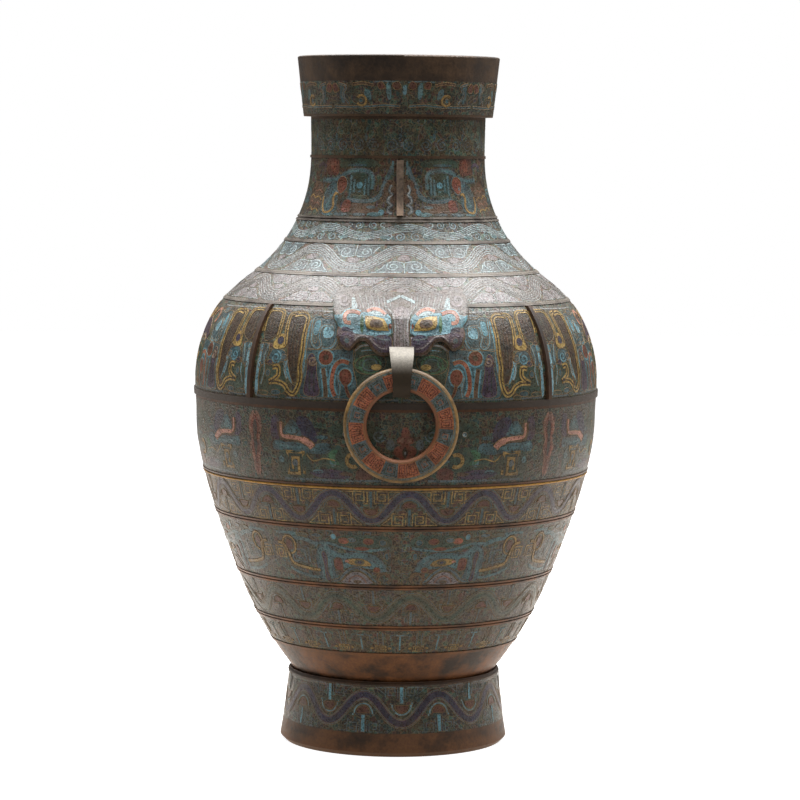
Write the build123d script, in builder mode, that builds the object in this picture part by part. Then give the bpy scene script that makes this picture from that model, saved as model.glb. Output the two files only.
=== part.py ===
"""A hu: a tall bronze wine vessel with champleve enamel bands, animal masks and loose ring handles.

The vessel is cast in four sections that lap into each other, on a separate foot with a base plate.
Every enamel band is a thin glass ring that fills a recess in its casting.
Origin: centre of the foot's resting plane. +Z is up, and the front mask faces -Y.
"""

import os
from math import sqrt

from build123d import *

# Driving dimensions, in millimetres

# Heights of the bands, from the foot up
foot_lip_height = 19.4
foot_band_height = 42.6
plain_band_height = 30.0
lappet_band_height = 25.2
lower_wave_height = 37.8
lower_dragon_height = 52.7
belly_wave_height = 36.3
belly_dragon_height = 60.0
girdle_height = 12.5
mask_band_height = 80.5
low_shoulder_height = 24.5
mid_shoulder_height = 27.0
high_shoulder_height = 19.5
neck_dragon_height = 53.8
neck_scroll_height = 35.2
collar_height = 53.0

# Outside radius of the foot, and how far the outline moves out (flare) or in (draw) over each band above
foot_radius = 101.5
foot_lip_draw = 2.4
foot_band_draw = 5.7
foot_ledge = 2.9
plain_flare = 19.4
lappet_flare = 14.5
lower_wave_flare = 16.8
lower_dragon_flare = 19.3
belly_wave_flare = 10.6
belly_swell_flare = 5.8
belly_dragon_flare = 1.5
girdle_flare = 0.7
mask_swell_draw = 4.5
mask_top_draw = 21.6
low_shoulder_draw = 28.2
mid_shoulder_draw = 25.2
high_shoulder_draw = 10.8
neck_waist_draw = 8.9
neck_dragon_draw = 2.7
neck_scroll_flare = 0.6
collar_ledge = 6.2
collar_flare = 5.9

# Walls, measured along the radius, and the enamel in them
wall = 4.2
foot_wall = 6.0
collar_wall = 4.6
enamel_depth = 1.0
enamel_bond_gap = 0.1

# Raised lines between the bands
fillet_width = 1.5
fillet_gap = 1.2
fillet_relief = 0.9
single_fillet_width = 2.4
girdle_relief = 1.5
girdle_rim_height = 5.5

# Foot, base plate and joints between the castings
foot_lip_rounding = 4.0
foot_bead_radius = 3.0
spigot_step = 2.5
spigot_length = 8.0
plate_thickness = 3.0
shelf_width = 6.0
shelf_thickness = 4.0
lap_height = 6.0
lap_depth = 2.5
solder_gap = 0.1

# Mouth collar
collar_seat = 5.0
collar_floor = 4.0
collar_border = 4.5
collar_band_height = 26.0
lip_rounding = 1.5

# Masks
mask_width = 108.0
mask_brow_height = 38.0
mask_top_rise = 8.0
mask_crown_radius = 150.0
mask_relief = 6.0
lobe_radius = 10.0
lobe_spacing = 88.0
jowl_radius = 12.0
jowl_spacing = 32.0
notch_radius = 5.5
notch_spacing = 63.0
notch_drop = 2.5
nose_width = 22.0
nose_relief = 11.0
eye_length = 20.0
eye_height = 11.0
eye_spacing = 42.0
eye_drop = 20.0
eye_relief = 8.0

# Ring handles and the straps that hold them
ring_outer_radius = 48.4
ring_bore_radius = 28.8
ring_thickness = 8.0
ring_border = 3.4
ring_standoff = 14.8
seat_gap = 0.55
strap_thickness = 3.5
strap_top_width = 20.5
strap_foot_width = 17.0
strap_rise = 21.1
strap_top_height = 47.5
strap_straight = 2.0
strap_end_reach = 1.5

# Ribs on the shoulder and flanges on the neck
rib_width = 7.0
rib_relief = 3.5
rib_angle = 45.0
flange_width = 7.5
flange_relief = 8.0
flange_end_gap = 1.5

# Heights of the lines between the bands
foot_line = foot_lip_height
waist_line = foot_line + foot_band_height
body_base = waist_line + foot_bead_radius
plain_line = waist_line + plain_band_height
lappet_line = plain_line + lappet_band_height
lower_wave_line = lappet_line + lower_wave_height
lower_dragon_line = lower_wave_line + lower_dragon_height
belly_wave_line = lower_dragon_line + belly_wave_height
girdle_base = belly_wave_line + belly_dragon_height
girdle_top = girdle_base + girdle_height
mask_line = girdle_top + mask_band_height
low_shoulder_line = mask_line + low_shoulder_height
mid_shoulder_line = low_shoulder_line + mid_shoulder_height
high_shoulder_line = mid_shoulder_line + high_shoulder_height
neck_dragon_line = high_shoulder_line + neck_dragon_height
collar_base = neck_dragon_line + neck_scroll_height
neck_top = collar_base + collar_seat
mouth_top = collar_base + collar_height

# Outside radii, at the top of each band unless the name says otherwise
foot_lip_top_radius = foot_radius - foot_lip_draw
foot_top_radius = foot_lip_top_radius - foot_band_draw
body_base_radius = foot_top_radius - foot_ledge
plain_top_radius = body_base_radius + plain_flare
lappet_top_radius = plain_top_radius + lappet_flare
lower_wave_top_radius = lappet_top_radius + lower_wave_flare
lower_dragon_top_radius = lower_wave_top_radius + lower_dragon_flare
belly_wave_top_radius = lower_dragon_top_radius + belly_wave_flare
belly_swell_radius = belly_wave_top_radius + belly_swell_flare
belly_dragon_top_radius = belly_swell_radius + belly_dragon_flare
girdle_top_radius = belly_dragon_top_radius + girdle_flare
mask_swell_radius = girdle_top_radius - mask_swell_draw
mask_top_radius = mask_swell_radius - mask_top_draw
low_shoulder_top_radius = mask_top_radius - low_shoulder_draw
mid_shoulder_top_radius = low_shoulder_top_radius - mid_shoulder_draw
high_shoulder_top_radius = mid_shoulder_top_radius - high_shoulder_draw
neck_waist_radius = high_shoulder_top_radius - neck_waist_draw
neck_dragon_top_radius = neck_waist_radius - neck_dragon_draw
neck_top_radius = neck_dragon_top_radius + neck_scroll_flare
collar_base_radius = neck_top_radius + collar_ledge
collar_top_radius = collar_base_radius + collar_flare

# Half heights of the bronze strips that carry a double or a single raised line
double_strip = fillet_width + fillet_gap / 2
single_strip = single_fillet_width / 2

# Joint lines between the castings
girdle_joint = girdle_top - girdle_rim_height
neck_joint = high_shoulder_line + double_strip

# Outer profiles as (height, radius)
body_stations = [
    (body_base, body_base_radius),
    (plain_line, plain_top_radius),
    (lappet_line, lappet_top_radius),
    (lower_wave_line, lower_wave_top_radius),
    (lower_dragon_line, lower_dragon_top_radius),
    (belly_wave_line, belly_wave_top_radius),
    ((belly_wave_line + girdle_base) / 2, belly_swell_radius),
    (girdle_base, belly_dragon_top_radius),
    (girdle_top, girdle_top_radius),
    ((girdle_top + mask_line) / 2, mask_swell_radius),
    (mask_line, mask_top_radius),
    (low_shoulder_line, low_shoulder_top_radius),
    (mid_shoulder_line, mid_shoulder_top_radius),
    (high_shoulder_line, high_shoulder_top_radius),
    ((high_shoulder_line + neck_dragon_line) / 2, neck_waist_radius),
    (neck_dragon_line, neck_dragon_top_radius),
    (neck_top, neck_top_radius),
]
foot_stations = [(foot_line, foot_lip_top_radius), (waist_line, foot_top_radius)]
collar_stations = [(collar_base, collar_base_radius), (mouth_top, collar_top_radius)]

widest = max(radius for height, radius in body_stations)
reach = widest + ring_standoff + ring_outer_radius
body_curve = Spline(*[(radius, height) for height, radius in body_stations])


def body_radius(height):
    """Radius of the body's outer face at a height, found by halving."""
    low, high = 0.0, 1.0
    for _ in range(50):
        middle = (low + high) / 2
        if (body_curve @ middle).Y < height:
            low = middle
        else:
            high = middle
    return (body_curve @ low).X


def band_face(stations, low, high, outer, inner):
    """Half section of a band between two heights, from depth outer to depth inner below the profile."""
    with BuildSketch() as face:
        with BuildLine():
            outside = Spline(*[(radius - outer, height) for height, radius in stations])
            inside = Spline(*[(radius - inner, height) for height, radius in stations])
            Line(outside @ 0, inside @ 0)
            Line(outside @ 1, inside @ 1)
        make_face()
        with Locations((reach / 2, (low + high) / 2)):
            Rectangle(reach, high - low, mode=Mode.INTERSECT)
    return face.sketch


def body_band(low, high, outer, inner):
    return band_face(body_stations, low, high, outer, inner)


def double_fillet(line):
    """Bronze strip, flush with the enamel, that carries two raised lines."""
    return [
        body_band(line - double_strip, line + double_strip, 0, enamel_depth),
        body_band(line - double_strip, line - fillet_gap / 2, -fillet_relief, 0),
        body_band(line + fillet_gap / 2, line + double_strip, -fillet_relief, 0),
    ]


def single_fillet(line):
    """Bronze strip that is one raised line."""
    return [body_band(line - single_strip, line + single_strip, -fillet_relief, enamel_depth)]


def turned(faces):
    """Solid of revolution about the vessel's axis from half sections."""
    with BuildPart() as solid:
        with BuildSketch(Plane.XZ):
            add(faces)
        revolve(axis=Axis.Z)
    return solid.part


def opposite(part):
    """The same piece on the other side of the vessel."""
    with BuildPart() as turned_round:
        add(part.rotate(Axis.Z, 180))
    return turned_round.part


def save(part, label):
    part.label = label
    export_step(part, f"parts/{label}.step")


# Foot ring: a flared lip, the enamel's recess, a bead at the waist and a shelf for the base plate
socket_radius = body_base_radius - spigot_step
plate_top = body_base - spigot_length
shelf_top = plate_top - plate_thickness
shelf_base = shelf_top - shelf_thickness
foot_band_low = foot_line + single_strip
foot_band_high = waist_line - foot_bead_radius - single_strip

with BuildPart() as foot_ring:
    with BuildSketch(Plane.XZ):
        with BuildLine():
            outside = Polyline(
                (foot_radius - foot_lip_rounding, 0),
                (foot_radius, foot_lip_rounding),
                (foot_lip_top_radius, foot_line),
                (foot_top_radius, waist_line),
                (foot_top_radius, body_base),
            )
            Polyline(
                outside @ 1,
                (socket_radius, body_base),
                (socket_radius, shelf_top),
                (socket_radius - shelf_width, shelf_top),
                (socket_radius - shelf_width, shelf_base),
                (foot_top_radius - foot_wall, shelf_base),
                (foot_radius - foot_wall - foot_lip_rounding, 0),
                outside @ 0,
            )
        make_face()
        with Locations((foot_top_radius - foot_bead_radius / 2, waist_line)):
            Circle(foot_bead_radius)
        add(band_face(foot_stations, foot_band_low, foot_band_high, 0, enamel_depth), mode=Mode.SUBTRACT)
    revolve(axis=Axis.Z)

# Base plate: rests on the foot's shelf, and the body's spigot stands on it
with BuildPart() as base_plate:
    with BuildSketch(Plane.XY.offset(shelf_top)):
        Circle(socket_radius - solder_gap)
    extrude(amount=plate_thickness)

# Lower casting: from the foot's socket to the lap joint under the girdle's rim
with BuildPart() as belly:
    with BuildSketch(Plane.XZ):
        add(body_band(body_base, girdle_joint, enamel_depth, wall))
        add(body_band(girdle_joint, girdle_joint + lap_height, lap_depth + solder_gap, wall))
        add(body_band(body_base, plain_line - single_strip, 0, enamel_depth))
        add(single_fillet(plain_line))
        for line in (lappet_line, lower_wave_line, lower_dragon_line, belly_wave_line):
            add(double_fillet(line))
        add(body_band(girdle_base, girdle_joint, 0, enamel_depth))
    revolve(axis=Axis.Z)
    with BuildSketch(Plane.XY.offset(body_base)):
        Circle(socket_radius - solder_gap)
        Circle(body_base_radius - wall, mode=Mode.SUBTRACT)
    extrude(amount=-spigot_length)

# Straps: a hook around the ring's top, whose two ends pass through the wall
ring_middle_radius = (ring_outer_radius + ring_bore_radius) / 2
pivot_height = girdle_top + strap_rise
pivot_radius = body_radius(pivot_height) + ring_standoff
seat_drop = ring_middle_radius - sqrt(ring_bore_radius**2 - (strap_foot_width / 2) ** 2)
hook_radius = seat_drop + seat_gap
hook_low = pivot_height - hook_radius
strap_low = hook_low - strap_thickness
strap_high = girdle_top + strap_top_height
low_path = hook_low - strap_thickness / 2
high_path = strap_high - strap_thickness / 2
front_path = pivot_radius + hook_radius + strap_thickness / 2
strap_bend = high_path - pivot_height - strap_straight
low_end = body_radius(low_path) - wall - strap_end_reach
high_end = body_radius(high_path) - wall - strap_end_reach

with BuildPart() as front_strap:
    with BuildSketch(Plane.YZ):
        with BuildLine():
            FilletPolyline(
                (-low_end, low_path),
                (-front_path, low_path),
                (-front_path, high_path),
                (-high_end, high_path),
                radius=[hook_radius + strap_thickness / 2, strap_bend],
            )
        trace(line_width=strap_thickness)
    extrude(amount=strap_top_width, both=True)
    with BuildSketch(Plane.XZ):
        with BuildLine():
            Polyline(
                (-strap_foot_width / 2, strap_low),
                (strap_foot_width / 2, strap_low),
                (strap_top_width / 2, strap_high),
                (-strap_top_width / 2, strap_high),
                close=True,
            )
        make_face()
    extrude(amount=reach, mode=Mode.INTERSECT)

back_strap = opposite(front_strap.part)

# Upper casting: the girdle's rim laps over the lower casting, and its top laps into the neck
with BuildPart() as shoulder:
    with BuildSketch(Plane.XZ):
        add(body_band(girdle_joint, girdle_joint + lap_height, enamel_depth, lap_depth))
        add(body_band(girdle_joint, girdle_top, -girdle_relief, enamel_depth))
        add(body_band(girdle_joint + lap_height, neck_joint, enamel_depth, wall))
        add(body_band(neck_joint, neck_joint + lap_height, lap_depth + solder_gap, wall))
        for line in (mask_line, low_shoulder_line, mid_shoulder_line):
            add(single_fillet(line))
        add(double_fillet(high_shoulder_line))
    revolve(axis=Axis.Z)
    add([front_strap.part, back_strap], mode=Mode.SUBTRACT)

# Neck: its skirt laps over the shoulder, and its top stands in the collar
neck_band_top = collar_base - single_fillet_width
with BuildPart() as neck:
    with BuildSketch(Plane.XZ):
        add(body_band(neck_joint, neck_joint + lap_height, enamel_depth, lap_depth))
        add(body_band(neck_joint + lap_height, neck_top, enamel_depth, wall))
        add(single_fillet(neck_dragon_line))
        add(body_band(neck_band_top, neck_top, 0, enamel_depth))
    revolve(axis=Axis.Z)

# Mouth collar: sits over the neck's top and flares up to a plain lip
collar_band_low = collar_base + collar_border
collar_band_high = collar_band_low + collar_band_height
with BuildPart() as mouth_collar:
    with BuildSketch(Plane.XZ):
        with BuildLine():
            Polyline(
                (neck_top_radius + solder_gap, collar_base),
                (collar_base_radius, collar_base),
                (collar_top_radius, mouth_top),
                (collar_top_radius - collar_wall, mouth_top),
                (collar_base_radius - collar_wall, neck_top + collar_floor),
                (neck_top_radius - wall, neck_top + collar_floor),
                (neck_top_radius - wall, neck_top),
                (neck_top_radius + solder_gap, neck_top),
                close=True,
            )
        lip = make_face()
        fillet(lip.vertices().group_by(Axis.Y)[-1], lip_rounding)
        add(
            band_face(collar_stations, collar_band_low, collar_band_high, 0, enamel_depth),
            mode=Mode.SUBTRACT,
        )
    revolve(axis=Axis.Z)


def raised(outline, relief):
    """Piece of an outline, seen from the front, that stands proud of the body and follows its curve."""
    with BuildPart() as piece:
        with BuildSketch(Plane.XZ):
            add(outline)
        extrude(amount=reach)
        revolve(turned_face(relief), axis=Axis.Z, mode=Mode.INTERSECT)
    return piece.part


def turned_face(relief):
    """Half section of the layer that applied pieces are cut from, on the vertical plane."""
    with BuildSketch(Plane.XZ) as layer:
        add(body_band(body_base, neck_top, -relief, enamel_depth))
    return layer.sketch


def mask_plate():
    """Outline of the mask: a brow with two lobes, two jowls and the notches between them."""
    brow_base = mask_line + mask_top_rise - mask_brow_height
    with BuildSketch() as outline:
        with Locations((0, brow_base + mask_brow_height / 2)):
            Rectangle(mask_width, mask_brow_height)
        with Locations((0, mask_line + mask_top_rise - mask_crown_radius)):
            Circle(mask_crown_radius, mode=Mode.INTERSECT)
        with Locations((-lobe_spacing / 2, brow_base), (lobe_spacing / 2, brow_base)):
            Circle(lobe_radius)
        with Locations((-jowl_spacing / 2, brow_base), (jowl_spacing / 2, brow_base)):
            Circle(jowl_radius)
        notch_height = brow_base - notch_drop
        with Locations((-notch_spacing / 2, notch_height), (notch_spacing / 2, notch_height)):
            Circle(notch_radius, mode=Mode.SUBTRACT)
    return outline.sketch


def mask_nose():
    """Outline of the nose, from the jowls up to the crown."""
    nose_base = mask_line + mask_top_rise - mask_brow_height - jowl_radius
    with BuildSketch() as outline:
        with Locations((0, (nose_base + mask_line) / 2)):
            Rectangle(nose_width, mask_line - nose_base)
    return outline.sketch


def mask_eyes():
    """Outline of the two eyes."""
    eye_line = mask_line + mask_top_rise - eye_drop
    with BuildSketch() as outline:
        with Locations((-eye_spacing / 2, eye_line), (eye_spacing / 2, eye_line)):
            Ellipse(eye_length / 2, eye_height / 2)
    return outline.sketch


# Masks: applied castings, seated on the bronze and pierced by the strap
with BuildPart() as front_mask:
    add(raised(mask_plate(), mask_relief))
    add(raised(mask_nose(), nose_relief))
    add(raised(mask_eyes(), eye_relief))
    add([shoulder.part, front_strap.part], mode=Mode.SUBTRACT)

back_mask = opposite(front_mask.part)


def upright_bar(width, low, high):
    """Outline of a vertical bar on the front of the vessel."""
    with BuildSketch() as outline:
        with Locations((0, (low + high) / 2)):
            Rectangle(width, high - low)
    return outline.sketch


# Ribs between the masks, and one flange over each mask on the neck
front_bar = raised(upright_bar(rib_width, girdle_top, mask_line - single_strip), rib_relief)
rib_angles = {
    "front_right_rib": rib_angle,
    "back_right_rib": 180 - rib_angle,
    "back_left_rib": 180 + rib_angle,
    "front_left_rib": -rib_angle,
}
ribs = {name: front_bar.rotate(Axis.Z, angle) for name, angle in rib_angles.items()}

flange_low = neck_joint + flange_end_gap
flange_high = neck_dragon_line - single_strip - flange_end_gap
front_flange = raised(upright_bar(flange_width, flange_low, flange_high), flange_relief)
front_flange = front_flange - neck.part
back_flange = opposite(front_flange)

# Ring handles: a flat ring with an enamelled channel in each face, hung in the strap's hook
ring_centre = (0, -pivot_radius, pivot_height - ring_middle_radius)
ring_axis = Axis(ring_centre, (0, 1, 0))
ring_width = ring_outer_radius - ring_bore_radius
channel_width = ring_width - 2 * ring_border
channel_offset = (ring_thickness - enamel_depth) / 2

with BuildPart() as front_ring:
    with BuildSketch(Plane.YZ):
        with Locations((-pivot_radius, pivot_height)):
            SlotOverall(ring_width, ring_thickness, rotation=90)
        with Locations(
            (-pivot_radius - channel_offset, pivot_height),
            (-pivot_radius + channel_offset, pivot_height),
        ):
            Rectangle(enamel_depth, channel_width, mode=Mode.SUBTRACT)
    revolve(axis=ring_axis)


def ring_enamel(offset):
    """Flat glass ring in one face of the ring handle."""
    with BuildPart() as inlay:
        with BuildSketch(Plane.YZ):
            with Locations((-pivot_radius + offset, pivot_height)):
                Rectangle(enamel_depth, channel_width)
        revolve(axis=ring_axis)
    return inlay.part


face_enamel = ring_enamel(-channel_offset)
reverse_enamel = ring_enamel(channel_offset)

# Enamel bands: each fills the recess between two raised lines
body_bands = {
    "lappet_enamel": (plain_line + single_strip, lappet_line - double_strip),
    "lower_wave_enamel": (lappet_line + double_strip, lower_wave_line - double_strip),
    "lower_dragon_enamel": (lower_wave_line + double_strip, lower_dragon_line - double_strip),
    "belly_wave_enamel": (lower_dragon_line + double_strip, belly_wave_line - double_strip),
    "belly_dragon_enamel": (belly_wave_line + double_strip, girdle_base),
    "mask_band_enamel": (girdle_top, mask_line - single_strip),
    "low_shoulder_enamel": (mask_line + single_strip, low_shoulder_line - single_strip),
    "mid_shoulder_enamel": (low_shoulder_line + single_strip, mid_shoulder_line - single_strip),
    "high_shoulder_enamel": (mid_shoulder_line + single_strip, high_shoulder_line - double_strip),
    "neck_dragon_enamel": (neck_joint, neck_dragon_line - single_strip),
    "neck_scroll_enamel": (neck_dragon_line + single_strip, neck_band_top),
}
enamel_back = enamel_depth - enamel_bond_gap
enamel_faces = {
    name: body_band(low, high, 0, enamel_back) for name, (low, high) in body_bands.items()
}
enamel_faces["foot_wave_enamel"] = band_face(
    foot_stations, foot_band_low, foot_band_high, 0, enamel_back
)
enamel_faces["collar_enamel"] = band_face(
    collar_stations, collar_band_low, collar_band_high, 0, enamel_back
)
applied_pieces = {
    "mask_band_enamel": [front_mask.part, back_mask, front_strap.part, back_strap, *ribs.values()],
    "low_shoulder_enamel": [front_mask.part, back_mask],
    "neck_dragon_enamel": [front_flange, back_flange],
}

os.makedirs("parts", exist_ok=True)

enamel_bands = {}
for name, faces in enamel_faces.items():
    with BuildPart() as enamel_band:
        add(turned(faces))
        if name in applied_pieces:
            add(applied_pieces[name], mode=Mode.SUBTRACT)
    enamel_bands[name] = enamel_band.part

# The ribs divide the enamel beside the masks into four panels
panels = enamel_bands.pop("mask_band_enamel").solids()
enamel_bands["left_panel_enamel"] = Part(panels.sort_by(Axis.X)[0].wrapped)
enamel_bands["right_panel_enamel"] = Part(panels.sort_by(Axis.X)[-1].wrapped)
enamel_bands["front_panel_enamel"] = Part(panels.sort_by(Axis.Y)[0].wrapped)
enamel_bands["back_panel_enamel"] = Part(panels.sort_by(Axis.Y)[-1].wrapped)

for name, band in enamel_bands.items():
    save(band, name)

for name, rib in ribs.items():
    save(rib, name)

save(foot_ring.part, "foot_ring")
save(base_plate.part, "base_plate")
save(belly.part, "belly")
save(shoulder.part, "shoulder")
save(neck.part, "neck")
save(mouth_collar.part, "mouth_collar")
save(front_flange, "front_flange")
save(back_flange, "back_flange")
save(front_mask.part, "front_mask")
save(back_mask, "back_mask")
save(front_strap.part, "front_strap")
save(back_strap, "back_strap")
save(front_ring.part, "front_ring")
save(opposite(front_ring.part), "back_ring")
save(face_enamel, "front_ring_face_enamel")
save(reverse_enamel, "front_ring_reverse_enamel")
save(opposite(face_enamel), "back_ring_face_enamel")
save(opposite(reverse_enamel), "back_ring_reverse_enamel")

print(f"height {mouth_top:.1f}, widest {2 * widest:.1f}, mouth {2 * collar_top_radius:.1f}")
print(f"ring pivot: radius {pivot_radius:.2f}, height {pivot_height:.2f}, hook radius {hook_radius:.2f}")
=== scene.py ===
from math import cos, hypot, pi, radians, sin, sqrt

import bmesh
import bpy
import numpy as np
from mathutils import Matrix, Vector
from mathutils.geometry import delaunay_2d_cdt


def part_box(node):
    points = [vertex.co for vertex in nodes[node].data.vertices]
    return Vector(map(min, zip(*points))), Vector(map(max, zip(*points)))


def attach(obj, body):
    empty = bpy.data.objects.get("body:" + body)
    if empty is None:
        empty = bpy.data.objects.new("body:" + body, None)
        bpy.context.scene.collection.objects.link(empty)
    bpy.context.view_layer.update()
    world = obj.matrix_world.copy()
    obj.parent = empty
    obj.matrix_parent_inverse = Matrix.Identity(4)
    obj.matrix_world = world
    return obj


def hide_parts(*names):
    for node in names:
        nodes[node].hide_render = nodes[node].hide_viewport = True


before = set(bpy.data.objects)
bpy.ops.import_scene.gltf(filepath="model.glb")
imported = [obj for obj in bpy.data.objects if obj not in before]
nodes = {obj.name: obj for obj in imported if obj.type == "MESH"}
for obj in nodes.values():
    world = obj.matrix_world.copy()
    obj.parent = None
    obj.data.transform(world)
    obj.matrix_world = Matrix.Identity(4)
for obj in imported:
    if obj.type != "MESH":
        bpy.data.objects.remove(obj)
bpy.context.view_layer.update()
mm = 0.001


def linear(hexColour):
    channels = [int(hexColour[i:i + 2], 16) / 255 for i in (1, 3, 5)]
    return tuple(c / 12.92 if c <= 0.04045 else ((c + 0.055) / 1.055) ** 2.4 for c in channels) + (1.0,)


def addNode(tree, kind, inputs=None, **settings):
    node = tree.nodes.new(kind)
    for key, value in settings.items():
        setattr(node, key, value)
    for key, value in (inputs or {}).items():
        if isinstance(value, bpy.types.NodeSocket):
            tree.links.new(value, node.inputs[key])
        else:
            node.inputs[key].default_value = value
    return node


def clearedTree(owner):
    owner.use_nodes = True
    owner.node_tree.nodes.clear()
    return owner.node_tree


def meshFrom(bm, name):
    mesh = bpy.data.meshes.new(name)
    bm.to_mesh(mesh)
    bm.free()
    return mesh


# Glass colours of the enamel, as they read on the vessel
glaze = {"umber": "#4a3a2c", "night": "#232a2b", "moss": "#2f4034", "olive": "#535544",
         "turquoise": "#6294a1", "sky": "#86b4c1", "pale": "#a8bcbf", "slate": "#556468", "teal": "#3f5b61",
         "indigo": "#2c2a44", "plum": "#43344a", "mauve": "#857b7c", "brick": "#743a2a", "coral": "#a05a43",
         "salmon": "#c98d79", "ochre": "#a58348", "gold": "#ba9a53", "green": "#3f6b4b", "brown": "#5a4231",
         "ash": "#675d58", "dove": "#9a9c9b", "fern": "#34483c", "bark": "#33271f", "rust": "#5f3327",
         "clay": "#8d5f4b", "heather": "#5f4f54", "ember": "#b9653f", "lagoon": "#527478", "mist": "#8aa3a9"}
print("palette and helpers ready")


# Outline of the vessel, read from the frame: the largest radius at each height, in millimetres
bandNodes = {"foot": "foot_wave_enamel", "lappet": "lappet_enamel", "lowerWave": "lower_wave_enamel",
             "lowerDragon": "lower_dragon_enamel", "bellyWave": "belly_wave_enamel",
             "bellyDragon": "belly_dragon_enamel", "panel": "left_panel_enamel",
             "lowShoulder": "low_shoulder_enamel", "midShoulder": "mid_shoulder_enamel",
             "highShoulder": "high_shoulder_enamel", "neckDragon": "neck_dragon_enamel",
             "neckScroll": "neck_scroll_enamel", "collar": "collar_enamel"}
profile = {"spacing": 5.0, "plainStrip": (65.5, 91.0), "waistBead": (57.0, 65.2), "rows": 120}


def outerPoints(node, low=-1e9, high=1e9):
    mesh = nodes[node].data
    found = {}
    for face in mesh.polygons:
        x, y, z = face.center
        if (x * face.normal.x + y * face.normal.y) < 0.5 * hypot(x, y):
            continue  # faces inwards, up or down
        for index in face.vertices:
            p = mesh.vertices[index].co / mm
            if low <= p.z <= high:
                found[round(p.z, 1)] = max(found.get(round(p.z, 1), 0), hypot(p.x, p.y))
    return found


# natural cubic spline through points that are not too close
def smoothCurve(points):
    kept = []
    for z, r in sorted(points.items()):
        if not kept or z - kept[-1][0] >= profile["spacing"]:
            kept.append((z, r))
    z, r = (np.array(column) for column in zip(*kept))
    h = np.diff(z)
    matrix = np.eye(len(z))
    right = np.zeros(len(z))
    for i in range(1, len(z) - 1):
        matrix[i, i - 1:i + 2] = h[i - 1], 2 * (h[i - 1] + h[i]), h[i]
        right[i] = 6 * ((r[i + 1] - r[i]) / h[i] - (r[i] - r[i - 1]) / h[i - 1])
    bend = np.linalg.solve(matrix, right)

    def radiusAt(height):
        i = int(np.clip(np.searchsorted(z, height) - 1, 0, len(h) - 1))
        a, b = z[i + 1] - height, height - z[i]
        return (bend[i] * a ** 3 + bend[i + 1] * b ** 3) / (6 * h[i]) + (
            (r[i] / h[i] - bend[i] * h[i] / 6) * a + (r[i + 1] / h[i] - bend[i + 1] * h[i] / 6) * b)
    return radiusAt


bodyPoints = outerPoints("belly", *profile["plainStrip"])
for bandName, bandNode in bandNodes.items():
    if bandName not in ("foot", "collar"):
        bodyPoints.update(outerPoints(bandNode))
bodyRadius = smoothCurve(bodyPoints)
footRadius = smoothCurve(outerPoints("foot_wave_enamel"))
collarRadius = smoothCurve(outerPoints("collar_enamel"))
beadHeights, beadRadii = zip(*sorted(outerPoints("foot_ring", *profile["waistBead"]).items()))


# the foot's glass climbs over the lower half of the bead at the waist
def footProfile(z):
    if z <= beadHeights[0]:
        return footRadius(z)
    return max(footRadius(z), float(np.interp(z, beadHeights, beadRadii)))


# glass that runs past its recess, below and above, where the photograph shows little bare bronze
overlap = {"belly_dragon_enamel": (0.0, 4.5), "collar_enamel": (2.6, 0.0), "foot_wave_enamel": (0.0, 4.4)}
overlapLift = 0.1


def bandOn(node, radiusAt):
    below, above = overlap.get(node, (0.0, 0.0))
    low, high = (corner.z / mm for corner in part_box(node))
    low, high = low - below, high + above
    heights = np.linspace(low, high, profile["rows"])
    radii = np.array([radiusAt(z) for z in heights])
    arc = np.concatenate([[0], np.cumsum(np.hypot(np.diff(heights), np.diff(radii)))])
    middle = float(radiusAt((low + high) / 2))
    return {"node": node, "z": heights, "r": radii, "arc": arc, "middle": middle, "tall": float(arc[-1]),
            "round": 2 * pi * middle, "start": below, "lift": overlapLift if node in overlap else 0.0}


# a place on a band: s round it, t up it, and the lift along its normal
def onBand(band, s, t, lift):
    z = float(np.interp(t, band["arc"], band["z"]))
    r = float(np.interp(t, band["arc"], band["r"]))
    before, after = max(t - 1, 0), min(t + 1, band["tall"])
    ahead = float(np.interp(after, band["arc"], band["r"]))
    behind = float(np.interp(before, band["arc"], band["r"]))
    slope = (ahead - behind) / (after - before)
    r, z = r + lift * sqrt(1 - slope * slope), z - lift * slope
    angle = s / band["middle"]
    return Vector((r * sin(angle), -r * cos(angle), z)) * mm


curves = {"foot": footProfile, "collar": collarRadius}
bands = {name: bandOn(node, curves.get(name, bodyRadius)) for name, node in bandNodes.items()}
for name, band in bands.items():
    print(name, "band in the frame:", round(band["tall"]), "mm up it,", round(band["round"]), "mm round it")


# Drawing in millimetres: s runs round the vessel, t up the band.
# A cell is one colour of glass, a wall its metal edge.

drawStep = 1.7


# smooth line through a few points
def flow(points, closed=False):
    count = len(points)
    line = []
    for i in range(count if closed else count - 1):
        if closed:
            p = [points[(i + k) % count] for k in (-1, 0, 1, 2)]
        else:
            p = [points[max(i - 1, 0)], points[i], points[i + 1], points[min(i + 2, count - 1)]]
        steps = max(2, round(hypot(p[2][0] - p[1][0], p[2][1] - p[1][1]) / drawStep))
        for k in range(steps):
            u = k / steps
            line.append(tuple(0.5 * (2 * p[1][a] + (p[2][a] - p[0][a]) * u
                        + (2 * p[0][a] - 5 * p[1][a] + 4 * p[2][a] - p[3][a]) * u * u
                        + (3 * p[1][a] - p[0][a] - 3 * p[2][a] + p[3][a]) * u ** 3) for a in (0, 1)))
    if not closed:
        line.append(tuple(points[-1]))
    return line


mitre = {"sharpest": 0.2, "limit": 0.6}


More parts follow.
